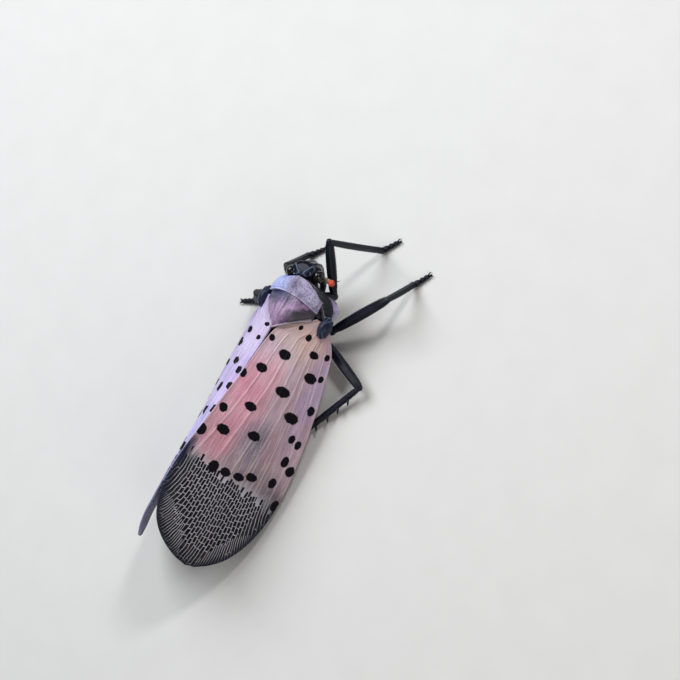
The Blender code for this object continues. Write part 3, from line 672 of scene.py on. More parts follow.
def build_forewing(side_name, material):
    side = SIDES[side_name]
    reach_to_margin = margin_reach(side)
    outer_skin, inner_skin, places, margins, veins = [], [], [], [], []
    for along in shares(WING_ROWS):
        outer, inner, facing, swelling = wing_row(side, along)
        for across in shares(WING_COLUMNS):
            swell = swelling * 4.0 * across * (1.0 - across)
            point = outer.lerp(inner, across) + facing * swell
            place = wing_place(point, across)
            lift = vein_lift(along, across)
            edge = min(across, 1.0 - across) * (inner - outer).length
            rim = RIM_LIFT * (1.0 - smooth_step(edge, 0.04, 0.16))
            skin = point + facing * (lift + rim)
            under = point - facing * MEMBRANE
            outer_skin.append(on_side(side, skin))
            inner_skin.append(on_side(side, under))
            places.append(place)
            behind = place[0] > MARGIN_START
            margins.append(reach_to_margin(Vector(place[:2])) if behind else FAR_FROM_MARGIN)
            veins.append(lift / VEIN_LIFT)
    stored = {"wing_place": places * 2, "wing_margin": margins * 2, "wing_vein": veins * 2}
    faces = plate_faces(WING_ROWS, WING_COLUMNS)
    return finish_piece("forewing_skin_" + side_name, outer_skin + inner_skin, faces, material,
                        stored, ["forewing_" + side_name])


print("Main veins:", len(MAIN_VEINS))

# %% [markdown]
# ## Finish of the forewings
#
# The membrane is peach at its base, salmon in the middle and grey toward the net, with black
# spots, pale veins and a dusting of wax. The left wing is seen at a low angle and is painted
# with sky light: its lavender and blue colours and heavier lavender bloom are painted light over
# the same membrane. Spots are placed by their middle on the wing in millimetres, as measured
# from the photo, and those out of sight follow the other wing.

# %% Spots of the forewings
# Each spot: along, across, length and breadth in millimetres
RIGHT_WING_SPOTS = (
    (4.3, 2.8, 0.42, 0.30), (6.0, 4.3, 0.52, 0.44), (4.7, 1.9, 0.56, 0.42),
    (6.7, 2.9, 0.76, 0.94), (5.7, 0.9, 0.60, 0.72), (5.4, -0.1, 0.54, 0.42),
    (8.4, 4.1, 0.70, 0.90), (9.4, 5.2, 0.70, 0.52), (7.4, 0.3, 0.82, 1.03),
    (7.1, -0.5, 0.56, 0.44), (9.3, 1.8, 0.80, 1.20), (11.4, 3.6, 0.66, 1.01),
    (12.4, 5.5, 0.72, 0.68), (9.6, -1.0, 0.78, 0.64), (10.8, 0.2, 0.84, 1.25),
    (14.6, 6.4, 0.92, 0.86), (13.9, 4.8, 0.74, 1.14), (13.3, 2.3, 0.72, 1.05),
    (12.2, -0.7, 0.70, 0.56), (12.4, -1.4, 0.72, 0.58), (14.0, -1.1, 0.86, 0.66),
    (14.5, -1.9, 0.86, 0.78), (16.7, 4.2, 0.94, 0.86), (16.7, 3.1, 0.66, 0.90),
    (16.6, 1.9, 0.62, 0.94), (16.2, 0.9, 0.68, 1.03), (15.9, -1.0, 0.84, 0.68),
    (17.4, -2.2, 0.90, 0.66),
)
LEFT_WING_SPOTS = (
    (6.3, 0.9, 0.61, 1.29), (5.3, 3.7, 0.36, 0.75), (6.5, 3.8, 0.39, 0.83),
    (8.9, 2.5, 0.63, 1.38), (9.4, 4.6, 0.65, 1.17), (10.8, 5.0, 0.65, 1.17),
    (11.2, -0.9, 0.59, 1.25), (12.9, 5.3, 0.68, 1.04), (13.3, 6.0, 0.59, 0.91),
    (14.2, 6.2, 0.71, 1.17), (15.3, -1.7, 0.65, 1.25), (14.0, 0.6, 0.71, 1.46),
    (7.5, 0.1, 0.77, 1.62), (9.4, -0.9, 0.65, 1.33), (11.3, 2.6, 0.82, 1.53),
    (12.6, -1.2, 0.61, 1.21), (13.4, 2.9, 0.80, 1.46), (16.6, 4.1, 0.80, 1.74),
    (16.7, 2.9, 0.70, 1.38), (16.4, 1.6, 0.73, 1.38), (16.0, -0.6, 0.71, 1.42),
)


def spot_mask(tree, place, spots, wobble):
    """Mask of every spot in a table."""
    mask = None
    for along, across, length, breadth in spots:
        spot = use_group(tree, "Spot", Place=place, Middle=(along, across, 0.0), Wobble=wobble,
                         Half_length=length / 2.0, Half_width=breadth / 2.0)[0]
        mask = spot if mask is None else sums(tree, "MAXIMUM", mask, spot)
    return mask


print("Spots:", len(RIGHT_WING_SPOTS), "on the right wing,", len(LEFT_WING_SPOTS), "on the left")

# %% [markdown]
# ## Tints, veins and net in one finish
#
# Zones of tint are soft ovals laid one over the other. Fine pale veins follow the shares
# across the wing, so that they spread from its base. The net comes last and hides them.

# %% Finish of the membrane
# Each tint: along, across, reach along, reach across, colour
RIGHT_WING_TINTS = (
    (5.2, 2.6, 3.0, 3.0, (0.66, 0.46, 0.38)),
    (7.6, 3.6, 3.4, 2.6, (0.55, 0.46, 0.54)),
    (10.8, 4.2, 5.6, 2.5, (0.72, 0.27, 0.37)),
    (8.5, 3.0, 2.4, 1.3, (0.70, 0.36, 0.42)),
    (14.6, 5.0, 3.0, 2.2, (0.56, 0.19, 0.26)),
    (13.8, 2.0, 2.8, 1.8, (0.08, 0.085, 0.13)),
    (12.6, 0.2, 3.6, 1.2, (0.32, 0.20, 0.24)),
    (8.6, -0.6, 6.0, 1.5, (0.40, 0.29, 0.46)),
    (16.6, 0.6, 2.6, 4.0, (0.15, 0.12, 0.135)),
    (17.8, -1.6, 2.6, 1.8, (0.07, 0.065, 0.08)),
)
# Tints of the left wing are painted sky light: lavender and blue over the same membrane that is
# peach and salmon on the right wing
SKY_LIT_LEFT_WING_TINTS = (
    (6.0, 2.6, 3.6, 3.6, (0.66, 0.56, 0.78)),
    (11.5, 4.4, 5.4, 2.4, (0.60, 0.44, 0.80)),
    (15.0, 4.0, 3.4, 5.0, (0.36, 0.36, 0.66)),
    (9.0, -0.4, 6.0, 1.6, (0.46, 0.38, 0.62)),
)


SPOT_BLACK = (0.004, 0.003, 0.006)
INNER_SHADE = (0.014, 0.016, 0.034)
STREAK_BROWN = (0.20, 0.12, 0.15)
FINE_VEINS = 15.0
VEIN_WIDTH_IN_NET = 0.062


def forewing_finish(name, spots, tints, ground, vein_colour, net_colour, tip_colour,
                    cell_colours, wax_colour, wax):
    finish, tree, shader = new_finish(name, Roughness=0.5, Specular_IOR_Level=0.07)
    place = stored_value(tree, "wing_place", True)
    along, across, share = split(tree, place)
    flat = joined(tree, along, across)
    wobble = sums(tree, "MULTIPLY", drift_at(tree, flat, 3.2), 0.55)

    # Ground colour with zones of tint and fine streaks along the wing
    colour = mixed(tree, 0.0, ground, ground)
    drift = drift_at(tree, flat, 0.7, 2.0)
    drifted = joined(tree, along, sums(tree, "MULTIPLY_ADD", drift, 1.6, across))
    for middle_along, middle_across, reach_along, reach_across, tint in tints:
        zone = use_group(tree, "Tint zone", Place=drifted, Reach=(reach_along, reach_across, 1.0),
                         Middle=(middle_along, middle_across, 0.0))[0]
        colour = mixed(tree, sums(tree, "MULTIPLY", zone, 0.85), colour, tint)
    streaks = noise_at(tree, stretched(tree, place, (0.5, 1.0, 34.0)), 1.0, 3.0, 0.65)
    colour = mixed(tree, ramp(tree, streaks, 0.62, 0.40, 0.0, 0.30), colour, STREAK_BROWN)
    colour = mixed(tree, ramp(tree, streaks, 0.50, 0.74, 0.0, 0.35), colour, vein_colour)

    # Fine veins between the main ones
    sway = sums(tree, "MULTIPLY", drift_at(tree, flat, 0.9, 1.0), 0.9)
    vein_place = sums(tree, "MULTIPLY_ADD", share, FINE_VEINS, sway)
    to_vein = sums(tree, "ABSOLUTE", sums(tree, "SUBTRACT", sums(tree, "FRACT", vein_place), 0.5))
    fine_vein = ramp(tree, to_vein, 0.10, 0.02)
    main_vein = stored_value(tree, "wing_vein")
    veins = sums(tree, "MAXIMUM", sums(tree, "MULTIPLY", fine_vein, 0.40),
                 sums(tree, "MULTIPLY", main_vein, 0.48))
    colour = mixed(tree, veins, colour, vein_colour)

    # The net, with its cells darkest in the middle of the wing
    margin = stored_value(tree, "wing_margin")
    net = use_group(tree, "Vein net", Along=along, Across=across, Margin=margin,
                    Vein_width=VEIN_WIDTH_IN_NET, Ragged=0.8)
    cells, tone, beyond = net["Cells"], net["Tone"], net["Beyond start"]
    toward_rim = ramp(tree, margin, 0.8, 0.0)
    net_vein = mixed(tree, toward_rim, net_colour, tip_colour)
    colour = mixed(tree, beyond, colour, net_vein)
    cell_colour = mixed(tree, sums(tree, "MULTIPLY", tone, 0.5), *cell_colours)
    cell_colour = mixed(tree, sums(tree, "MULTIPLY", toward_rim, 0.6), cell_colour, tip_colour)
    colour = mixed(tree, cells, colour, cell_colour)
    # Dark shade along the inner edge of the net
    shade = sums(tree, "MULTIPLY", ramp(tree, share, 0.925, 0.965),
                 sums(tree, "MULTIPLY", ramp(tree, along, 14.8, 15.6),
                      ramp(tree, along, 21.0, 19.6)))
    colour = mixed(tree, sums(tree, "MULTIPLY", shade, 0.85), colour, INNER_SHADE)

    spots_here = spot_mask(tree, flat, spots, wobble)
    colour = mixed(tree, spots_here, colour, SPOT_BLACK)
    dust = use_group(tree, "Wax bloom", Place=flat, Cloud_size=2.2, Grain_size=0.10,
                     Amount=wax)
    bare = sums(tree, "SUBTRACT", 1.0, sums(tree, "MAXIMUM", spots_here, cells))
    bloom = sums(tree, "MULTIPLY", dust["Mask"], bare)
    colour = mixed(tree, bloom, colour, wax_colour)

    raised = sums(tree, "MAXIMUM", sums(tree, "MULTIPLY", fine_vein, 0.5), main_vein)
    net_ridges = sums(tree, "MULTIPLY", beyond, sums(tree, "SUBTRACT", 1.0, cells))
    raised = sums(tree, "MAXIMUM", raised, net_ridges)
    height = sums(tree, "MULTIPLY_ADD", dust["Grain"], 0.25, raised)
    rough = sums(tree, "MULTIPLY_ADD", spots_here, 0.10, 0.52)
    wire(tree, shader, Base_Color=colour, Roughness=rough, Normal=bumped(tree, height, 0.035))
    return finish


right_wing_finish = forewing_finish(
    "Rose wing leather", RIGHT_WING_SPOTS, RIGHT_WING_TINTS, (0.44, 0.30, 0.35),
    (0.62, 0.48, 0.47), (0.40, 0.39, 0.42), (0.022, 0.024, 0.042),
    ((0.004, 0.004, 0.006), (0.024, 0.020, 0.026)), (0.72, 0.68, 0.74), 0.18)
# The left wing's finish is painted sky light: its lavender ground, veins, net and cells stand for
# blue sky falling on it at a low angle, and its heavier lavender bloom is real wax with painted sky
# sheen
sky_lit_left_wing_finish = forewing_finish(
    "Sky-lit lavender wing leather", LEFT_WING_SPOTS, SKY_LIT_LEFT_WING_TINTS, (0.48, 0.41, 0.68),
    (0.70, 0.62, 0.82), (0.50, 0.50, 0.76), (0.26, 0.27, 0.46),
    ((0.10, 0.10, 0.20), (0.22, 0.22, 0.38)), (0.74, 0.72, 0.92), 0.42)
build_forewing("right", right_wing_finish)
build_forewing("left", sky_lit_left_wing_finish)

# %% [markdown]
# ## Finish of insect shell
#
# Head, thorax and legs are covered by blue-black shell. It is glossy on its ridges, dull in
# its pits, and dusted with pale blue wax. A stored value marks the ridges, so that they can
# carry a paler colour, a painted highlight. The same few lines make every kind of shell here.

# %% Shell finishes


def shell_finish(name, dark, light, wax_colour, wax=0.25, pit_spacing=0.16, gloss=0.38,
                 bump=0.02, specular=0.20, marbling=0.0):
    """Shell whose ridges, and marbled folds where asked, carry a painted highlight, with pits,
    wrinkles and a patchy bloom of wax.
    """
    finish, tree, shader = new_finish(name, Specular_IOR_Level=specular, Coat_Weight=0.03,
                                      Coat_Roughness=0.20)
    place = place_on(tree)
    shell = use_group(tree, "Pitted shell", Place=place, Pit_spacing=pit_spacing,
                      Pit_depth=0.5, Wrinkles=0.6)
    clouds = noise_at(tree, place, 1.3, 3.0)
    ridge = stored_value(tree, "ridge")
    colour = mixed(tree, ramp(tree, clouds, 0.3, 0.7), dark, tuple(1.5 * part for part in dark))
    # The paler colour on the ridges is a painted highlight
    colour = mixed(tree, ridge, colour, light)
    # Marbling lays the same painted highlight colour along wandering folds
    if marbling:
        fold = sums(tree, "ABSOLUTE", drift_at(tree, place, 1.7, 1.0))
        colour = mixed(tree, ramp(tree, fold, 0.045, 0.0, 0.0, marbling), colour, light)
    dust = use_group(tree, "Wax bloom", Place=place, Cloud_size=0.9, Grain_size=0.05, Amount=wax)
    colour = mixed(tree, dust["Mask"], colour, wax_colour)
    rough = sums(tree, "MULTIPLY_ADD", shell["Pits"], 0.25, gloss)
    rough = sums(tree, "MULTIPLY_ADD", dust["Mask"], 0.4, rough)
    wire(tree, shader, Base_Color=colour, Roughness=rough,
         Normal=bumped(tree, shell["Height"], bump))
    return finish


BLUE_BLACK = (0.0020, 0.0025, 0.0065)
WAX_BLUE = (0.34, 0.38, 0.48)
# The second colour of each shell is the painted highlight on its ridges and keels
body_shell = shell_finish("Blue-black body shell", BLUE_BLACK, (0.03, 0.04, 0.07), WAX_BLUE, 0.08)
head_shell = shell_finish("Blue-black head shell", BLUE_BLACK, (0.13, 0.18, 0.28), WAX_BLUE,
                          0.0, gloss=0.24, bump=0.012, specular=0.12, marbling=0.12)
root_shell = shell_finish("Marbled wing root shell", (0.004, 0.007, 0.024), (0.10, 0.14, 0.22),
                          WAX_BLUE, 0.03, gloss=0.30)
leg_shell = shell_finish("Ridged leg shell", BLUE_BLACK, (0.012, 0.015, 0.030), WAX_BLUE,
                         0.02, 0.10)
for shell in (body_shell, head_shell, root_shell, leg_shell):
    print("Finish:", shell.name)

# %% [markdown]
# ## Trunk
#
# Thorax and abdomen are one body in life, so one skin runs from the neck to the tail, with no
# seam where the solids leave a gap. The thorax is dark shell with grooves between its side
# plates. The abdomen is yellow with a black band on each segment, and its rings overlap like
# short cups.

# %% Build the trunk
TRUNK_STATIONS = (
    (0.10, 4.56, 0.60, 0.50, 0.62),
    (0.50, 4.50, 0.80, 0.58, 0.76),
    (1.30, 4.28, 1.36, 0.84, 1.13),
    (2.00, 4.14, 1.95, 0.95, 1.52),
    (2.90, 3.90, 2.42, 0.80, 1.80),
    (3.70, 3.60, 2.40, 0.80, 1.70),
    (4.60, 3.26, 2.00, 1.10, 1.42),
    (5.50, 3.08, 1.74, 1.15, 1.30),
    (6.30, 2.94, 1.55, 1.15, 1.24),
    (7.30, 2.66, 1.25, 1.15, 1.15),
    (8.30, 2.42, 1.33, 1.30, 1.30),
    (10.0, 2.25, 1.55, 1.50, 1.50),
    (12.0, 2.15, 1.60, 1.54, 1.54),
    (14.0, 2.15, 1.50, 1.44, 1.44),
    (15.8, 2.24, 1.20, 1.18, 1.18),
    (17.0, 2.34, 0.80, 0.78, 0.78),
    (17.8, 2.40, 0.30, 0.30, 0.30),
)
TRUNK_RINGS = 190
TRUNK_SIDES = 96
ABDOMEN_START = 6.6
SEGMENT_LENGTH = 1.40
RING_SWELL = 0.07
RING_DROP = 0.03
TAIL_FADE = (16.8, 17.8)
GROOVE_DEPTH = 0.07
GROOVE_HALF_WIDTH = 0.14
# Grooves of the thorax: back at the top, back at the belly
THORAX_GROOVES = ((1.5, 1.1), (2.55, 2.1), (3.35, 2.9), (4.3, 3.9), (5.3, 5.1), (6.4, 6.4))


def build_trunk(materials):
    points, segments = [], []
    start, end = TRUNK_STATIONS[0][0], TRUNK_STATIONS[-1][0]
    for share in shares(TRUNK_RINGS):
        back = lerp(start, end, share)
        middle, half, rise, drop = smooth_station(TRUNK_STATIONS, back)
        for turn in around(TRUNK_SIDES):
            height = (rise if math.sin(turn) > 0 else drop) * math.sin(turn)
            belly = 0.5 - 0.5 * math.sin(turn)
            swell = -GROOVE_DEPTH * max(bump_at(back, lerp(top, low, belly), GROOVE_HALF_WIDTH)
                                        for top, low in THORAX_GROOVES)
            in_segment = 0.0
            if back > ABDOMEN_START:
                in_segment = ((back - ABDOMEN_START) / SEGMENT_LENGTH) % 1.0
                swell += RING_SWELL * smooth_step(in_segment, 0.0, 0.8) - RING_DROP
                swell *= 1.0 - smooth_step(back, *TAIL_FADE)
            points.append(((half + swell) * math.cos(turn), back,
                           middle + height + swell * math.sin(turn)))
            segments.append(in_segment)
    stored = {"ridge": [0.0] * len(points), "segment": segments}
    piece = finish_piece("trunk_skin", points, tube_faces(TRUNK_RINGS, TRUNK_SIDES), materials,
                         stored, ["thorax", "abdomen"])
    boundary = HEAD_Y + (ABDOMEN_START + 0.1) * MM
    for face in piece.data.polygons:
        face.material_index = 1 if face.center.y > boundary else 0
    return piece


def abdomen_finish():
    finish, tree, shader = new_finish("Banded abdomen", Specular_IOR_Level=0.4, Coat_Weight=0.1)
    place = place_on(tree)
    segment = stored_value(tree, "segment")
    wander = drift_at(tree, place, 1.6)
    edge = sums(tree, "MULTIPLY_ADD", wander, 0.35, segment)
    band = sums(tree, "MULTIPLY", ramp(tree, edge, 0.42, 0.50), ramp(tree, edge, 0.96, 0.90))
    yellow = mixed(tree, noise_at(tree, place, 2.0), (0.62, 0.36, 0.05), (0.80, 0.55, 0.14))
    colour = mixed(tree, band, yellow, (0.016, 0.014, 0.016))
    dust = use_group(tree, "Wax bloom", Place=place, Cloud_size=1.1, Grain_size=0.07, Amount=0.4)
    colour = mixed(tree, dust["Mask"], colour, (0.62, 0.60, 0.56))
    shell = use_group(tree, "Pitted shell", Place=place, Pit_spacing=0.2, Pit_depth=0.2,
                      Wrinkles=0.8)
    rough = sums(tree, "MULTIPLY_ADD", band, -0.12, 0.5)
    wire(tree, shader, Base_Color=colour, Roughness=rough,
         Normal=bumped(tree, shell["Height"], 0.02))
    return finish


build_trunk([body_shell, abdomen_finish()])

# %% [markdown]
# ## Shields of the thorax
#
# The pronotum is a saddle-shaped shield behind the head: lavender grey, pitted, with a keel
# along its middle and a side lobe that bends down. Behind it the mesonotum is a kite-shaped
# shield, navy in front and plum behind. Both follow the same knots as the solids, and store
# where each point lies on the shield, so that the finish can paint rims, and painted shade on
# the steep side lobes.

# %% Build both shields
PRONOTUM_HALF = (
    (0.00, 5.85, 0.84, 2.38),
    (0.90, 5.70, 1.10, 2.44),
    (1.70, 5.34, 1.56, 2.60),
    (2.35, 4.80, 2.02, 2.80),
    (2.80, 4.15, 1.75, 2.78),
    (3.02, 3.30, 1.38, 2.55),
)
MESONOTUM_HALF = (
    (0.00, 5.80, 2.70, 5.35),
    (0.75, 5.62, 2.76, 4.72),
    (1.45, 5.22, 2.88, 4.12),
    (2.05, 4.78, 3.05, 3.62),
    (2.25, 4.58, 3.12, 3.42),
)
SHIELD_SHEET = 0.30
# How far the front of the pronotum slants, forward on the right, since the head is turned
PRONOTUM_LAG = 0.24


def shield_station(half, reach):
    """Values of a shield at a share out from its keel, and the way its skin faces there."""
    places = shares(len(half))
    near = smooth_point(places, half, max(reach - 0.02, 0.0))
    far = smooth_point(places, half, min(reach + 0.02, 1.0))
    slope = Vector((far[0] - near[0], far[1] - near[1])).normalized()
    facing = Vector((-slope.y, slope.x)) if reach > 0.0 else Vector((0.0, 1.0))
    return smooth_point(places, half, reach), facing


# Side lobe of the pronotum: its upper line along the disc's keel, its lower line on the flange
LOBE_TOP = ((0.70, 0.84, 5.50), (1.30, 1.06, 5.20), (1.72, 1.48, 4.96), (2.05, 1.88, 4.66),
            (2.42, 2.30, 4.20), (2.66, 2.68, 4.00))
LOBE_FLOOR = ((1.40, 0.98, 4.45), (1.90, 1.12, 4.00), (2.50, 1.26, 3.50), (2.88, 1.58, 3.36),
              (3.12, 2.02, 3.32), (3.20, 2.50, 3.36))
LOBE_ROWS = 40
LOBE_COLUMNS = 24
LOBE_SHEET = 0.16
LOBE_HOLLOW = 0.16
FLANGE_FLARE = 0.12
DISC_SHARE = 0.62


def add_side_lobe(side, points, faces, places):
    """Adds the lobe that bends down from the keel at the side of the disc to the flange."""
    first = len(points)
    skins = ([], [])
    spots = []
    for along in shares(LOBE_ROWS):
        top = Vector(smooth_point(shares(len(LOBE_TOP)), LOBE_TOP, along))
        floor = Vector(smooth_point(shares(len(LOBE_FLOOR)), LOBE_FLOOR, along))
        for across in shares(LOBE_COLUMNS):
            bow = FLANGE_FLARE * smooth_step(across, 0.75, 1.0)
            bow -= LOBE_HOLLOW * math.sin(math.pi * across)
            point = top.lerp(floor, across) + Vector((bow, 0.0, 0.3 * bow))
            under = point - Vector((LOBE_SHEET, 0.0, 0.5 * LOBE_SHEET))
            for skin, spot in zip(skins, (point, under)):
                skin.append(on_side(side, spot))
            spots.append((side * lerp(DISC_SHARE, 1.0, across), along, 0.0))
    points.extend(skins[0] + skins[1])
    faces.extend([tuple(first + corner for corner in face)
                  for face in plate_faces(LOBE_ROWS, LOBE_COLUMNS)])
    places.extend(spots * 2)


def build_shield(name, half, columns, rows, crown, keels, rim, front_overlap, lag, material,
                 node, lobes=False):
    """Shield from the knots of its right half; with lobes it ends at the keel of the disc."""
    outer, inner, places = [], [], []
    widest = DISC_SHARE if lobes else 1.0
    for along in shares(rows):
        for step in range(-columns, columns + 1):
            reach = widest * abs(step) / columns
            side = 1 if step >= 0 else -1
            (right, up, front, rear), facing = shield_station(half, reach)
            front -= side * lag * 4.0 * reach * (1.0 - reach)
            back = lerp(front - front_overlap, rear, along)
            lift = crown * math.sin(math.pi * along) * (1.0 - reach)
            lift += sum(height * bump_at(reach, middle, width) * math.sin(math.pi * along) ** 0.5
                        for middle, width, height in keels)
            to_rim = (1.0 - along) * (rear - front)
            on_rim = 1.0 - smooth_step(to_rim, 0.03, 0.10)
            on_rim *= 1.0 - smooth_step(reach, 0.85, 0.95)
            lift += rim * on_rim - 0.04 * bump_at(to_rim, 0.15, 0.06)
            outer.append((side * (right + facing.x * lift), back, up + facing.y * lift))
            inner.append((side * (right - facing.x * SHIELD_SHEET), back,
                          up - facing.y * SHIELD_SHEET))
            places.append((side * reach, along, on_rim))
    points = outer + inner
    faces = plate_faces(rows, 2 * columns + 1)
    places = places * 2
    for side in SIDES.values() if lobes else ():
        add_side_lobe(side, points, faces, places)
    return finish_piece(name, points, faces, material, {"shield_place": places}, [node])


def pronotum_finish():
    finish, tree, shader = new_finish("Lavender pronotum", Specular_IOR_Level=0.35,
                                      Sheen_Weight=0.2)
    place = place_on(tree)
    side, along, rim = split(tree, stored_value(tree, "shield_place", True))
    shell = use_group(tree, "Pitted shell", Place=place, Pit_spacing=0.19, Pit_depth=0.9,
                      Wrinkles=0.7)
    clouds = noise_at(tree, place, 1.4, 3.0)
    colour = mixed(tree, ramp(tree, clouds, 0.35, 0.68), (0.18, 0.145, 0.24), (0.36, 0.33, 0.47))
    # Left of the keel the disc is painted pale blue: painted sky light on the half that faces the
    # sky
    colour = mixed(tree, ramp(tree, side, 0.05, -0.30), colour, (0.38, 0.43, 0.74))
    reach = sums(tree, "ABSOLUTE", side)
    colour = mixed(tree, sums(tree, "MULTIPLY", shell["Pits"], 0.6), colour, (0.10, 0.07, 0.13))
    flange = sums(tree, "MULTIPLY", ramp(tree, reach, 0.91, 0.93), ramp(tree, along, 0.25, 0.50))
    # Black from the disc's keel down the side lobe, short of the flange: painted shade on the steep
    # lobe that turns away from the light
    lobe_shade = sums(tree, "MULTIPLY", ramp(tree, reach, DISC_SHARE + 0.003, DISC_SHARE + 0.01),
                  sums(tree, "SUBTRACT", 1.0, flange))
    colour = mixed(tree, lobe_shade, colour, (0.002, 0.003, 0.009))
    colour = mixed(tree, sums(tree, "MULTIPLY", rim, 0.2), colour, (0.58, 0.55, 0.66))
    wire(tree, shader, Base_Color=colour,
         Roughness=sums(tree, "MULTIPLY_ADD", clouds, 0.3, 0.38),
         Normal=bumped(tree, shell["Height"], 0.05))
    return finish


def mesonotum_finish():
    finish, tree, shader = new_finish("Navy and plum mesonotum", Specular_IOR_Level=0.5,
                                      Coat_Weight=0.2, Coat_Roughness=0.3)
    place = place_on(tree)
    side, along, rim = split(tree, stored_value(tree, "shield_place", True))
    drift = drift_at(tree, place, 1.1)
    left_front = ramp(tree, sums(tree, "ADD", side, sums(tree, "MULTIPLY_ADD", drift, 0.9, along)),
                      0.66, -0.20)
    streaks = noise_at(tree, stretched(tree, place, (1.0, 0.35, 1.0)), 2.6, 4.0, 0.7)
    colour = mixed(tree, ramp(tree, streaks, 0.34, 0.66), (0.13, 0.06, 0.14),
                   (0.40, 0.24, 0.42))
    dust = use_group(tree, "Wax bloom", Place=place, Cloud_size=0.9, Grain_size=0.06, Amount=0.35)
    colour = mixed(tree, dust["Mask"], colour, (0.50, 0.42, 0.56))
    colour = mixed(tree, left_front, colour, (0.016, 0.018, 0.075))
    dark_right = ramp(tree, sums(tree, "ADD", side, sums(tree, "MULTIPLY_ADD", along, 0.6, drift)),
                      0.45, 0.90)
    colour = mixed(tree, dark_right, colour, (0.014, 0.007, 0.022))
    edge_line = ramp(tree, sums(tree, "ABSOLUTE", side), 0.88, 0.95)
    colour = mixed(tree, edge_line, colour, (0.010, 0.011, 0.035))
    colour = mixed(tree, sums(tree, "MULTIPLY", rim, 0.6), colour, (0.50, 0.41, 0.47))
    shell = use_group(tree, "Pitted shell", Place=place, Pit_spacing=0.3, Pit_depth=0.3,
                      Wrinkles=1.0)
    rough = sums(tree, "MULTIPLY_ADD", dust["Mask"], 0.4, 0.34)
    wire(tree, shader, Base_Color=colour, Roughness=rough,
         Normal=bumped(tree, shell["Height"], 0.04))
    return finish


# Keels: share out from the midline, half width as a share, height in millimetres
PRONOTUM_KEELS = ((0.0, 0.05, 0.13), (0.40, 0.05, 0.05), (0.67, 0.05, 0.07))
MESONOTUM_KEELS = ((0.30, 0.08, 0.05), (0.0, 0.06, 0.04))
build_shield("pronotum_shield", PRONOTUM_HALF, 70, 60, 0.06, PRONOTUM_KEELS, 0.04, 0.0,
             PRONOTUM_LAG, pronotum_finish(), "pronotum", True)
build_shield("mesonotum_shield", MESONOTUM_HALF, 50, 60, 0.18, MESONOTUM_KEELS, 0.03, 0.35,
             0.0, mesonotum_finish(), "mesonotum")

# %% [markdown]
# ## Legs
#
# A lanternfly's leg is dark and ridged lengthwise. Coxa, thigh, shin and three short foot
# joints overlap at each joint, so that no gap shows. Each leg is one piece: tubes with keels
# run along the same joints as the solids, and fine bristles stand in rows on the keels. Two
# claws and a pad end each foot.

# %% Ridged tubes


def frame_at(heading, guide):
    side = heading.cross(guide).normalized()
    return side, heading.cross(side)


class Surface:
    """Points, faces and ridge values of a piece that is put together from closed shells."""

    def __init__(self):
        self.points, self.faces, self.ridge = [], [], []

    def add_rings(self, rings, ridges):
        """Adds a closed tube of rings; ridges holds one value for each point of a ring."""
        first = len(self.points)
        for ring in rings:
            self.points.extend(ring)
            self.ridge.extend(ridges)
        self.faces.extend(tube_faces(len(rings), len(rings[0]), first))

    def add_limb(self, path, radii, keels=5, keel_height=0.12, flat=1.0, sides=40, tip=True):
        """Ridged tube along a path; flat narrows it sideways."""
        path = [Vector(point) for point in path]
        radii = list(radii)
        heading = (path[-1] - path[0]).normalized()
        guide = Vector((0.0, 1.0, 0.0)) if abs(heading.z) > 0.8 else Vector((0.0, 0.0, 1.0))
        ridges = [abs(math.cos(keels * turn / 2.0)) ** 6 for turn in around(sides)]
        rings = []
        for index, centre in enumerate(path):
            before, after = path[max(index - 1, 0)], path[min(index + 1, len(path) - 1)]
            side, other = frame_at((after - before).normalized(), guide)
            ring = []
            for turn, ridge in zip(around(sides), ridges):
                reach = radii[index] * (1.0 - keel_height * (1.0 - ridge))
                spoke = side * math.cos(turn) * flat + other * math.sin(turn)
                ring.append(centre + spoke * reach)
            rings.append(ring)
        for share in (0.5, 0.8, 0.97) if tip else ():
            centre = path[-1] + (path[-1] - path[-2]).normalized() * radii[-1] * share
            shrink = math.sqrt(1.0 - share * share)
            rings.append([centre + (point - path[-1]) * shrink for point in rings[len(path) - 1]])
        self.add_rings(rings, ridges)

    def add_spike(self, root, tip, radius, sides=6):
        """Slim cone, such as a spine, a bristle or a claw."""
        root, tip = Vector(root), Vector(tip)
        heading = (tip - root).normalized()
        guide = Vector((0.0, 0.0, 1.0)) if abs(heading.z) < 0.9 else Vector((1.0, 0.0, 0.0))
        side, other = frame_at(heading, guide)
        rings = []
        for share, width in ((0.0, 1.0), (0.6, 0.6), (1.0, 0.08)):
            ring = []
            for turn in around(sides):
                spoke = side * math.cos(turn) + other * math.sin(turn)
                ring.append(root.lerp(tip, share) + spoke * radius * width)
            rings.append(ring)
        self.add_rings(rings, [0.3] * sides)


def run_between(start, end, count, bow=0.0):
    start, end = Vector(start), Vector(end)
    span = end - start
    aside = span.cross(Vector((0.0, 0.0, 1.0))).cross(span).normalized()
    return [start.lerp(end, share) + aside * span.length * bow * math.sin(math.pi * share)
            for share in shares(count)]


def profile(knots, count):
    """Radii along a limb from a few (share, radius) knots."""
    places = [knot[0] for knot in knots]
    return [smooth_point(places, [knot[1:] for knot in knots], share)[0]
            for share in shares(count)]


print("Radii from 0.2 to 0.1 mm:", profile(((0, 0.2), (1, 0.1)), 3))

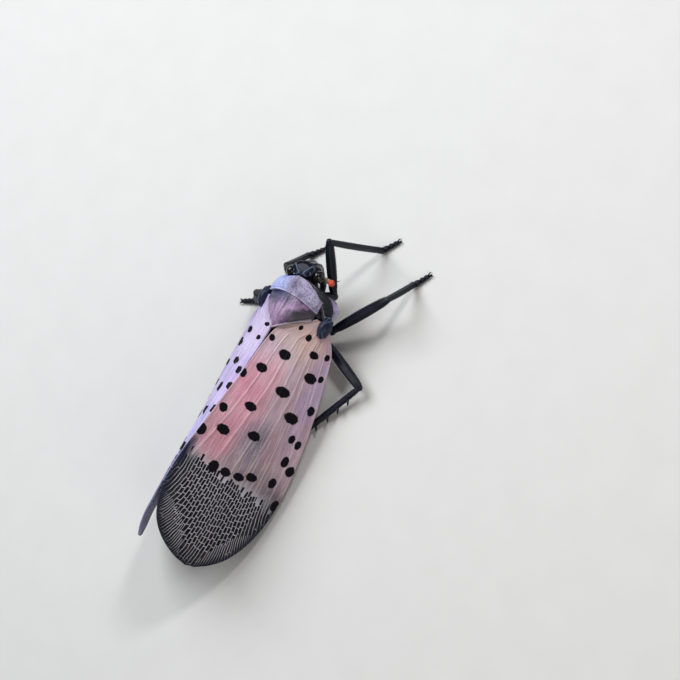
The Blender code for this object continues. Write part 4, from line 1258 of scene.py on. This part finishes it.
# %% Build the legs
# Joints of each leg in insect millimetres: root in the thorax, hip, knee, ankle, tip of toes
LEGS = {
    "fore_right": ((1.15, 1.70, 3.60), (1.45, 0.95, 2.15), (0.98, -2.50, 5.88),
                   (2.25, -4.05, 0.36), (3.25, -5.45, 0.0)),
    "fore_left": ((-1.15, 1.90, 3.60), (-1.95, 1.32, 2.42), (-3.12, 0.55, 3.08),
                  (-3.45, -1.05, 0.36), (-2.35, -2.30, 0.0)),
    "mid_right": ((1.50, 3.10, 3.10), (2.40, 3.40, 1.52), (6.50, -0.70, 3.45),
                  (6.20, -2.80, 0.36), (7.05, -4.20, 0.0)),
    "mid_left": ((-1.50, 3.00, 3.10), (-2.15, 3.15, 1.72), (-4.45, 3.55, 2.90),
                 (-5.75, 4.10, 0.36), (-7.25, 4.80, 0.0)),
    "hind_right": ((1.20, 4.30, 2.70), (2.00, 4.25, 1.32), (6.75, 6.20, 1.10),
                   (3.50, 12.00, 0.34), (3.10, 14.00, 0.0)),
    "hind_left": ((-1.20, 4.20, 2.70), (-1.85, 4.30, 1.35), (-4.30, 7.55, 0.96),
                  (-3.60, 12.90, 0.34), (-3.20, 14.90, 0.0)),
}
THIGH_RADIUS = {"fore": 0.43, "mid": 0.46, "hind": 0.41}
SHIN_RADIUS = {"fore": 0.28, "mid": 0.28, "hind": 0.27}
# Places of the hind shin's spines, as shares from knee to ankle
SHIN_SPINES = (0.20, 0.36, 0.52, 0.70, 0.88)
SPINE_RADIUS = 0.13
BRISTLE_RADIUS = 0.012
# Foot joints: start and end as shares of the foot, half width and height in millimetres
FOOT_JOINTS = ((0.0, 0.40, 0.25, 0.50), (0.34, 0.62, 0.22, 0.42), (0.56, 0.86, 0.20, 0.38))
FOOT_SIDES = 16
FOOT_RINGS = 9


def add_foot(leg, ankle, tip):
    """Three foot joints flat on the floor, two claws and a pad between them."""
    ahead = Vector((tip.x - ankle.x, tip.y - ankle.y, 0.0))
    length = ahead.length
    ahead.normalize()
    aside = Vector((-ahead.y, ahead.x, 0.0))
    floor_start = Vector((ankle.x, ankle.y, 0.0)) - ahead * 0.05
    for first, last, wide, tall in FOOT_JOINTS:
        rings = []
        ridges = [0.4 if 4 < step < 12 else 0.0 for step in range(FOOT_SIDES)]
        for share in shares(FOOT_RINGS):
            place = floor_start + ahead * length * lerp(first, last, share)
            swell = math.sin(math.pi * (0.12 + 0.80 * share)) ** 0.5
            ring = []
            for turn in around(FOOT_SIDES):
                up = (0.5 + 0.5 * math.sin(turn)) ** 0.8 * tall * swell
                ring.append(place + aside * math.cos(turn) * wide * swell
                            + Vector((0.0, 0.0, up)))
            rings.append(ring)
        leg.add_rings(rings, ridges)
    toe = floor_start + ahead * length * 0.84
    for way in (-1, 1):
        knuckle = toe + aside * way * 0.07 + Vector((0.0, 0.0, 0.20))
        bend = toe + aside * way * 0.17 + ahead * 0.20 + Vector((0.0, 0.0, 0.22))
        point = toe + aside * way * 0.20 + ahead * 0.34 + Vector((0.0, 0.0, 0.03))
        leg.add_limb([knuckle, bend, point], (0.06, 0.05, 0.008), 2, 0.0, sides=8, tip=False)
    pad = [toe + Vector((0.0, 0.0, 0.10)), toe + ahead * 0.20 + Vector((0.0, 0.0, 0.08))]
    leg.add_limb(pad, (0.09, 0.07), 2, 0.0, sides=10)


def add_bristles(leg, path, radii, rows, spacing, dice):
    """Fine bristles in rows along the keels, leaning toward the foot."""
    total = (path[-1] - path[0]).length
    heading = (path[-1] - path[0]).normalized()
    guide = Vector((0.0, 1.0, 0.0)) if abs(heading.z) > 0.8 else Vector((0.0, 0.0, 1.0))
    side, other = frame_at(heading, guide)
    for turn in around(rows):
        spoke = side * math.cos(turn) + other * math.sin(turn)
        for step in range(int(total / spacing)):
            share = (step + dice.uniform(0.2, 0.8)) * spacing / total
            index = min(int(share * (len(path) - 1)), len(path) - 1)
            root = path[index] + spoke * radii[index] * 0.92
            lean = (spoke * 0.6 + heading * dice.uniform(0.7, 1.1)).normalized()
            leg.add_spike(root, root + lean * dice.uniform(0.12, 0.20), BRISTLE_RADIUS, 3)


def build_leg(name, material):
    kind, side_name = name.split("_")
    root, hip, knee, ankle, tip = (Vector(point) for point in LEGS[name])
    dice = random.Random(name)
    leg = Surface()
    leg.add_limb(run_between(root, hip, 16), profile(((0, 0.52), (0.5, 0.46), (1, 0.36)), 16), 4,
                 0.06)
    thigh = THIGH_RADIUS[kind]
    leg.add_limb(run_between(hip, hip.lerp(knee, 0.10), 6), profile(((0, 0.30), (1, 0.31)), 6), 3,
                 0.05)
    path = run_between(hip.lerp(knee, 0.05), knee, 40)
    radii = profile(((0, 0.25), (0.12, thigh * 0.85), (0.55, thigh), (0.9, thigh * 0.86),
                     (1, thigh * 0.66)), 40)
    leg.add_limb(path, radii, 6, 0.14)
    add_bristles(leg, path, radii, 6, 0.30, dice)
    shin = SHIN_RADIUS[kind]
    path = run_between(knee, ankle, 44, -0.01)
    radii = profile(((0, shin * 0.80), (0.08, shin * 0.92), (0.5, shin), (0.9, shin * 0.96),
                     (1, shin * 1.02)), 44)
    leg.add_limb(path, radii, 5, 0.16)
    add_bristles(leg, path, radii, 5, 0.20, dice)
    add_foot(leg, ankle, tip)
    if kind == "hind":
        heading = (path[-1] - path[0]).normalized()
        outward = Vector((SIDES[side_name], 0.0, 0.0))
        outward = (outward - heading * outward.dot(heading)).normalized()
        lean = (outward + heading * 0.6).normalized()
        for index, share in enumerate(SHIN_SPINES):
            start = path[0].lerp(path[-1], share) + outward * shin * 0.6
            leg.add_spike(start, start + lean * (0.55 + 0.03 * index), SPINE_RADIUS, 10)
    nodes = [name + "_" + part for part in ("coxa", "femur", "tibia", "tarsus")]
    return finish_piece("leg_" + name, leg.points, leg.faces, material, {"ridge": leg.ridge},
                        nodes)


for leg_name in LEGS:
    build_leg(leg_name, leg_shell)

# %% [markdown]
# ## Head
#
# The head is a blunt wedge with a flat face that folds down and back to the beak. Low keels
# run down the face, and ridges with a painted pale blue highlight divide the crown into shallow
# cells. The head is turned a little about the neck, so that it looks past its left side. The
# eyes bulge from the sides and are smooth and black.

# %% Build the head
HEAD_STATIONS = (
    (5.74, 0.26, 0.62, 0.44, 0.52),
    (5.63, 0.24, 0.90, 0.58, 0.60),
    (5.34, 0.22, 1.08, 0.68, 0.62),
    (4.98, 0.20, 1.14, 0.76, 0.52),
    (4.56, 0.18, 1.08, 0.86, 0.56),
    (4.04, 0.16, 0.94, 0.88, 0.56),
    (3.48, 0.16, 0.76, 0.76, 0.48),
    (3.05, 0.18, 0.58, 0.58, 0.40),
    (2.75, 0.24, 0.36, 0.40, 0.32),
)
HEAD_TOP = HEAD_STATIONS[0][0]
HEAD_LOW = HEAD_STATIONS[-1][0]
HEAD_REAR = 0.80
HEAD_TURN = math.radians(13.0)
NECK = Vector((0.0, 0.60, 5.0))
# Keels of the face, in degrees from straight ahead, and heights in millimetres
FACE_KEELS = (-34.0, 0.0, 34.0)
KEEL_HEIGHT = 0.09
BROW_HEIGHT = 0.07
CHEEK_HEIGHT = 0.04
CROWN_RIDGE_HEIGHT = 0.06
EYE_CENTRE = Vector((1.22, 0.48, 5.08))
EYE_RADII = (0.44, 0.48, 0.50)
HEAD_SIDES = 150
HEAD_RINGS = 110
CROWN_RINGS = 24


def turned(point):
    """A point of the head, turned with it about the neck."""
    point = Vector(point) - NECK
    cosine, sine = math.cos(HEAD_TURN), math.sin(HEAD_TURN)
    return Vector((point.x * cosine + point.y * sine, point.y * cosine - point.x * sine,
                   point.z)) + NECK


def crown_ridge(right, back):
    """Ridges of the crown: two arms that part toward the front, with a loop behind each."""
    right = abs(right)
    arm = bump_at(right - 0.78 + 0.87 * (back + 0.11), 0.0, 0.10)
    arm *= smooth_step(right, 0.06, 0.2) * (1.0 - smooth_step(right, 0.70, 0.86))
    loop = bump_at(math.hypot(right - 0.50, back - 0.50), 0.27, 0.07)
    loop *= smooth_step(back, 0.30, 0.50) * 0.8
    return max(arm, loop)


def head_point(up, turn, shrink=1.0):
    """Point of the head, and its ridge value; turn runs from straight ahead to the right."""
    middle, half_width, ahead, behind = smooth_station(HEAD_STATIONS, min(up, HEAD_TOP))
    reach = ahead if math.cos(turn) > 0 else behind
    right = half_width * math.sin(turn) * shrink
    back = min(middle - reach * math.cos(turn) * shrink, HEAD_REAR)
    degrees = math.degrees(math.remainder(turn, math.tau))
    keel = max(bump_at(degrees, keel_turn, 5.5) for keel_turn in FACE_KEELS)
    keel *= smooth_step(up, 2.9, 3.3) * (1.0 - smooth_step(up, 5.40, 5.62))
    brow = bump_at(up, 5.56, 0.10) * (1.0 if math.cos(turn) > -0.2 else 0.0)
    crown = crown_ridge(right, back) * smooth_step(up, 5.48, 5.68)
    cheek = CHEEK_HEIGHT * bump_at(up, 4.05, 0.25) * abs(math.sin(turn))
    push = KEEL_HEIGHT * keel + BROW_HEIGHT * brow + cheek
    right += push * math.sin(turn)
    back -= push * math.cos(turn)
    ridge = max(0.10 * keel, 0.12 * brow, crown)
    return turned((right, back, up + CROWN_RIDGE_HEIGHT * crown)), ridge


def build_head(material):
    points, ridges = [], []
    for index in range(CROWN_RINGS):
        shrink = lerp(0.03, 1.0, index / CROWN_RINGS)
        up = HEAD_TOP + 0.05 * (1.0 - shrink * shrink)
        for turn in around(HEAD_SIDES):
            point, ridge = head_point(up, turn, shrink)
            points.append(point)
            ridges.append(ridge)
    for share in shares(HEAD_RINGS):
        up = lerp(HEAD_TOP, HEAD_LOW, share)
        for turn in around(HEAD_SIDES):
            point, ridge = head_point(up, turn)
            points.append(point)
            ridges.append(ridge)
    faces = tube_faces(CROWN_RINGS + HEAD_RINGS, HEAD_SIDES)
    return finish_piece("head_shell", points, faces, material, {"ridge": ridges}, ["head"])


def add_ball(surface, centre, radii, sides=48, rings=32, turn_with_head=True, ridge=0.0):
    stack = []
    for share in shares(rings + 2)[1:-1]:
        polar = math.pi * share
        ring = []
        for turn in around(sides):
            point = Vector(centre) + Vector((radii[0] * math.sin(polar) * math.cos(turn),
                                             radii[1] * math.sin(polar) * math.sin(turn),
                                             radii[2] * math.cos(polar)))
            ring.append(turned(point) if turn_with_head else point)
        stack.append(ring)
    surface.add_rings(stack, [ridge] * sides)


def eye_finish():
    finish, tree, shader = new_finish("Glossy compound eye", Roughness=0.12, Coat_Weight=0.1,
                                      Coat_Roughness=0.05, Specular_IOR_Level=0.4)
    place = place_on(tree)
    colour = mixed(tree, ramp(tree, noise_at(tree, place, 1.5), 0.35, 0.7),
                   (0.002, 0.0015, 0.003), (0.007, 0.004, 0.005))
    height = ramp(tree, to_nearest(tree, place, 26.0, 0.25), 0.5, 0.0)
    wire(tree, shader, Base_Color=colour, Normal=bumped(tree, height, 0.004, 0.5))
    return finish


build_head(head_shell)
eye_gloss = eye_finish()
for side_name, side in SIDES.items():
    eye = Surface()
    add_ball(eye, on_side(side, EYE_CENTRE), EYE_RADII)
    finish_piece("eye_ball_" + side_name, eye.points, eye.faces, eye_gloss, {"ridge": eye.ridge},
                 ["eye_" + side_name])

# %% [markdown]
# ## Feelers and beak
#
# Below each eye stands a short feeler: a pale stalk, a round orange bulb covered in fine
# grains, and a thin dark bristle. The beak is a slim jointed tube that lies folded back
# between the legs.

# %% Build feelers and beak
# Middle of the bulb and tip of the bristle on each side; the left feeler hangs down
BULBS = {"right": (2.13, 0.66, 4.50), "left": (1.62, 0.36, 3.62)}
BULB_RADIUS = 0.27
STALK_ROOT = (0.90, 0.30, 4.20)
BRISTLE_TIPS = {"right": (3.03, 0.34, 4.76), "left": (2.06, 0.18, 2.82)}
BEAK_PATH = ((0.0, 0.30, 2.60), (0.0, 0.42, 2.15), (0.0, 0.85, 1.80), (0.0, 2.20, 1.38),
             (0.0, 4.90, 1.15))


def feeler_finish(name, low, high, grain_size):
    finish, tree, shader = new_finish(name, Roughness=0.42, Specular_IOR_Level=0.45)
    distance = to_nearest(tree, place_on(tree), 1.0 / grain_size)
    colour = mixed(tree, ramp(tree, distance, 0.1, 0.6), high, low)
    wire(tree, shader, Base_Color=colour,
         Normal=bumped(tree, ramp(tree, distance, 0.6, 0.1), 0.015))
    return finish


def build_feeler(side_name, finishes):
    side = SIDES[side_name]

    def mirrored(point):
        return turned(on_side(side, point))

    middle = BULBS[side_name]
    bulb, root, tip = mirrored(middle), mirrored(STALK_ROOT), mirrored(BRISTLE_TIPS[side_name])
    surface = Surface()
    stalk_end = root.lerp(bulb, 0.72)
    surface.add_limb(run_between(root, stalk_end, 8),
                     profile(((0, 0.20), (0.5, 0.16), (1, 0.21)), 8), 2, 0.0, sides=32)
    stalk_count = len(surface.faces)
    add_ball(surface, on_side(side, middle), (BULB_RADIUS,) * 3)
    bulb_count = len(surface.faces)
    surface.add_limb(run_between(bulb, bulb.lerp(tip, 0.34), 5),
                     profile(((0, 0.07), (1, 0.05)), 5), 2, 0.0, sides=16)
    surface.add_spike(bulb.lerp(tip, 0.25), tip, 0.045, 12)
    piece = finish_piece("feeler_" + side_name, surface.points, surface.faces, finishes,
                         {"ridge": surface.ridge}, ["antenna_" + side_name])
    for index, face in enumerate(piece.data.polygons):
        face.material_index = 1 if index < stalk_count else 0 if index < bulb_count else 2


def build_beak(material):
    beak = Surface()
    places = chord_shares(BEAK_PATH)
    path = [Vector(smooth_point(places, BEAK_PATH, share)) for share in shares(40)]
    radii = profile(((0, 0.32), (0.3, 0.29), (0.6, 0.26), (1, 0.16)), 40)
    radii = [radius * (1.0 - 0.12 * bump_at(share, 0.45, 0.03) - 0.12 * bump_at(share, 0.72, 0.03))
             for radius, share in zip(radii, shares(40))]
    beak.add_limb(path, radii, 4, 0.10)
    return finish_piece("beak", beak.points, beak.faces, material, {"ridge": beak.ridge},
                        ["rostrum"])


feeler_finishes = [
    feeler_finish("Orange feeler bulb", (0.55, 0.045, 0.02), (0.85, 0.16, 0.06), 0.045),
    feeler_finish("Tan feeler stalk", (0.30, 0.22, 0.15), (0.50, 0.40, 0.30), 0.06),
    feeler_finish("Dark feeler bristle", (0.02, 0.012, 0.010), (0.05, 0.03, 0.02), 0.03),
]
for side_name in SIDES:
    build_feeler(side_name, feeler_finishes)
build_beak(body_shell)

# %% [markdown]
# ## Wing roots
#
# The scale over each wing root, the tegula, is a small dark lobe whose ridges carry a painted
# pale blue highlight. It fills the corner between the pronotum's side lobe and the forewing.

# %% Build the wing root scales
TEGULA_CENTRE = (3.06, 3.46, 3.78)
TEGULA_RADII = (0.50, 0.86, 0.60)
TEGULA_RIBS = (-0.45, 0.10, 0.62)
RIB_HALF_WIDTH = 0.14
RIB_SWELL = 0.10


def build_tegula(side_name, material):
    side = SIDES[side_name]
    lobe = Surface()
    sides, rings = 60, 44
    for ring_share in shares(rings + 2)[1:-1]:
        polar = math.pi * ring_share
        for turn in around(sides):
            rib = max(bump_at(math.cos(turn), middle, RIB_HALF_WIDTH) for middle in TEGULA_RIBS)
            reach = (1.0 + RIB_SWELL * rib) * math.sin(polar)
            right = TEGULA_CENTRE[0] + TEGULA_RADII[0] * reach * math.cos(turn)
            back = TEGULA_CENTRE[1] + TEGULA_RADII[1] * reach * math.sin(turn)
            up = TEGULA_CENTRE[2] + TEGULA_RADII[2] * math.cos(polar)
            lobe.points.append((side * right, back, up))
            lobe.ridge.append(rib ** 3 * math.sin(polar))
    return finish_piece("tegula_scale_" + side_name, lobe.points, tube_faces(rings, sides),
                        material, {"ridge": lobe.ridge}, ["tegula_" + side_name])


for side_name in SIDES:
    build_tegula(side_name, root_shell)

# %% [markdown]
# ## Hindwings
#
# Folded under the forewings lie the hindwings: scarlet with black dots near the body, a white
# band, and a black tip. They are pleated like a fan and show only from below and behind.

# %% Build the hindwings
HINDWING_SPAN = (0.148, 0.80)
HINDWING_SHARES = (0.17, 0.74)
HINDWING_ROOM = 0.86
HINDWING_SHEET = 0.35
HINDWING_ROWS = 90
HINDWING_COLUMNS = 80
PLEATS = 9.0
PLEAT_HEIGHT = 0.05


def build_hindwing(side_name, material):
    side = SIDES[side_name]
    outer_skin, inner_skin, places = [], [], []
    for along_share in shares(HINDWING_ROWS):
        along = lerp(*HINDWING_SPAN, along_share)
        outer, inner, facing, swelling = wing_row(side, along)
        for share in shares(HINDWING_COLUMNS):
            across = lerp(*HINDWING_SHARES, share)
            swell = swelling * 4.0 * across * (1.0 - across)
            point = outer.lerp(inner, across) + facing * (swell - HINDWING_ROOM)
            pleat = PLEAT_HEIGHT * math.sin(math.tau * PLEATS * share)
            skin, under = point + facing * pleat, point + facing * (pleat - HINDWING_SHEET)
            outer_skin.append(on_side(side, skin))
            inner_skin.append(on_side(side, under))
            places.append((along_share, share, pleat))
    return finish_piece("hindwing_fan_" + side_name, outer_skin + inner_skin,
                        plate_faces(HINDWING_ROWS, HINDWING_COLUMNS), material,
                        {"fan_place": places * 2}, ["hindwing_" + side_name])


def hindwing_finish():
    finish, tree, shader = new_finish("Scarlet hindwing", Roughness=0.5, Specular_IOR_Level=0.3,
                                      Sheen_Weight=0.1)
    place = place_on(tree)
    along, share, _ = split(tree, stored_value(tree, "fan_place", True))
    wander = drift_at(tree, place, 0.8)
    reach = sums(tree, "MULTIPLY_ADD", wander, 0.12, along)
    red = mixed(tree, noise_at(tree, place, 1.8), (0.45, 0.03, 0.02), (0.72, 0.08, 0.04))
    dots = ramp(tree, to_nearest(tree, place, 0.75), 0.40, 0.34)
    red = mixed(tree, dots, red, (0.01, 0.008, 0.01))
    colour = mixed(tree, ramp(tree, reach, 0.50, 0.53), red, (0.70, 0.68, 0.62))
    colour = mixed(tree, ramp(tree, reach, 0.68, 0.71), colour, (0.016, 0.014, 0.016))
    in_pleat = sums(tree, "FRACT", sums(tree, "MULTIPLY", share, PLEATS))
    to_vein = sums(tree, "ABSOLUTE", sums(tree, "SUBTRACT", in_pleat, 0.5))
    veins = ramp(tree, to_vein, 0.10, 0.03)
    colour = mixed(tree, sums(tree, "MULTIPLY", veins, 0.5), colour, (0.05, 0.02, 0.02))
    wire(tree, shader, Base_Color=colour, Normal=bumped(tree, veins, 0.03))
    return finish


scarlet = hindwing_finish()
for side_name in SIDES:
    build_hindwing(side_name, scarlet)

# %% [markdown]
# ## Studio
#
# A plain pale floor lies at the level of the feet. One large soft light comes from the
# insect's left and front, as the sky does in the photo, a weaker one fills the other side, and
# a small one gives the glint on eye and shell.

# %% Floor and lights
FLOOR_HALF = 0.6
AIR_COLOUR = (0.80, 0.84, 0.90, 1.0)
AIR_STRENGTH = 0.20
MIDDLE = (0.0, 11.0, 4.0)
# Each light: name, place in insect millimetres, watts, size in millimetres, colour
LIGHTS = (
    ("Sky light", (-90.0, -40.0, 150.0), 0.32, 120.0, (0.93, 0.96, 1.0)),
    ("Fill light", (150.0, 60.0, 90.0), 0.09, 120.0, (1.0, 0.95, 0.90)),
    ("Glint light", (40.0, -110.0, 120.0), 0.09, 25.0, (1.0, 1.0, 1.0)),
)


def build_floor():
    finish, tree, shader = new_finish("Pale studio floor", Roughness=0.85, Specular_IOR_Level=0.2)
    grain = noise_at(tree, place_on(tree), 0.35, 2.0)
    colour = mixed(tree, grain, (0.66, 0.65, 0.63), (0.70, 0.69, 0.67))
    wire(tree, shader, Base_Color=colour)
    mesh = bpy.data.meshes.new("studio_floor")
    signs = ((-1, -1), (1, -1), (1, 1), (-1, 1))
    corners = [(x * FLOOR_HALF, y * FLOOR_HALF, 0.0) for x, y in signs]
    mesh.from_pydata(corners, [], [(0, 1, 2, 3)])
    mesh.materials.append(finish)
    floor = bpy.data.objects.new("studio_floor", mesh)
    bpy.context.scene.collection.objects.link(floor)


def add_light(name, place, power, size, colour):
    """Soft square light, aimed at the middle of the insect."""
    light = bpy.data.lights.new(name, "AREA")
    light.energy = power
    light.size = size * MM
    light.color = colour
    lamp = bpy.data.objects.new(name, light)
    lamp.location = to_frame(place)
    aim = to_frame(MIDDLE) - lamp.location
    lamp.rotation_euler = aim.to_track_quat("-Z", "Y").to_euler()
    bpy.context.scene.collection.objects.link(lamp)


build_floor()
for light_values in LIGHTS:
    add_light(*light_values)

world = bpy.data.worlds.new("Studio air")
bpy.context.scene.world = world
world.use_nodes = True
air = world.node_tree.nodes["Background"]
air.inputs["Color"].default_value = AIR_COLOUR
air.inputs["Strength"].default_value = AIR_STRENGTH
bpy.context.scene.view_settings.view_transform = "Standard"

# %% [markdown]
# ## Camera
#
# The photo looks down on the insect from its right side, 30 degrees off straight above, with
# the head toward the upper right. Its scale is 13 pixels to the millimetre. From these the
# camera is worked out: the middle of the head has to land on its own pixel.

# %% Camera at the photo's angle
ROLL = math.radians(30.0)
HEAD = Vector((0.0, 0.0, 5.2))
HEAD_PIXEL = (308.0, 268.0)
FRAME_PIXELS = 680.0
PIXELS_PER_MM = 13.0
CAMERA_REACH = 180.0
SENSOR_WIDTH = 36.0
HEAD_HEADING = (0.479, 0.878)


def build_camera():
    toward = Vector((math.sin(ROLL), 0.0, math.cos(ROLL)))
    ahead = Vector((0.0, -1.0, 0.0))
    aside = Vector((math.cos(ROLL), 0.0, -math.sin(ROLL)))
    length = math.hypot(*HEAD_HEADING)
    right_share, up_share = HEAD_HEADING[0] / length, HEAD_HEADING[1] / length
    image_right = ahead * right_share + aside * up_share
    image_up = ahead * up_share - aside * right_share
    centre = FRAME_PIXELS / 2.0
    place = HEAD + toward * CAMERA_REACH
    place -= image_right * (HEAD_PIXEL[0] - centre) / PIXELS_PER_MM
    place += image_up * (HEAD_PIXEL[1] - centre) / PIXELS_PER_MM

    view = bpy.data.cameras.new("Photo camera")
    view.sensor_width = SENSOR_WIDTH
    view.lens = SENSOR_WIDTH * PIXELS_PER_MM * CAMERA_REACH / FRAME_PIXELS
    view.clip_start = 0.005
    camera = bpy.data.objects.new("Photo camera", view)
    columns = [Vector((-axis.x, axis.y, axis.z)) for axis in (image_right, image_up, toward)]
    turn = Matrix((columns[0], columns[1], columns[2])).transposed().to_4x4()
    camera.matrix_world = Matrix.Translation(to_frame(place)) @ turn
    bpy.context.scene.collection.objects.link(camera)
    bpy.context.scene.camera = camera
    print("Camera lens", round(view.lens, 1), "mm")


build_camera()
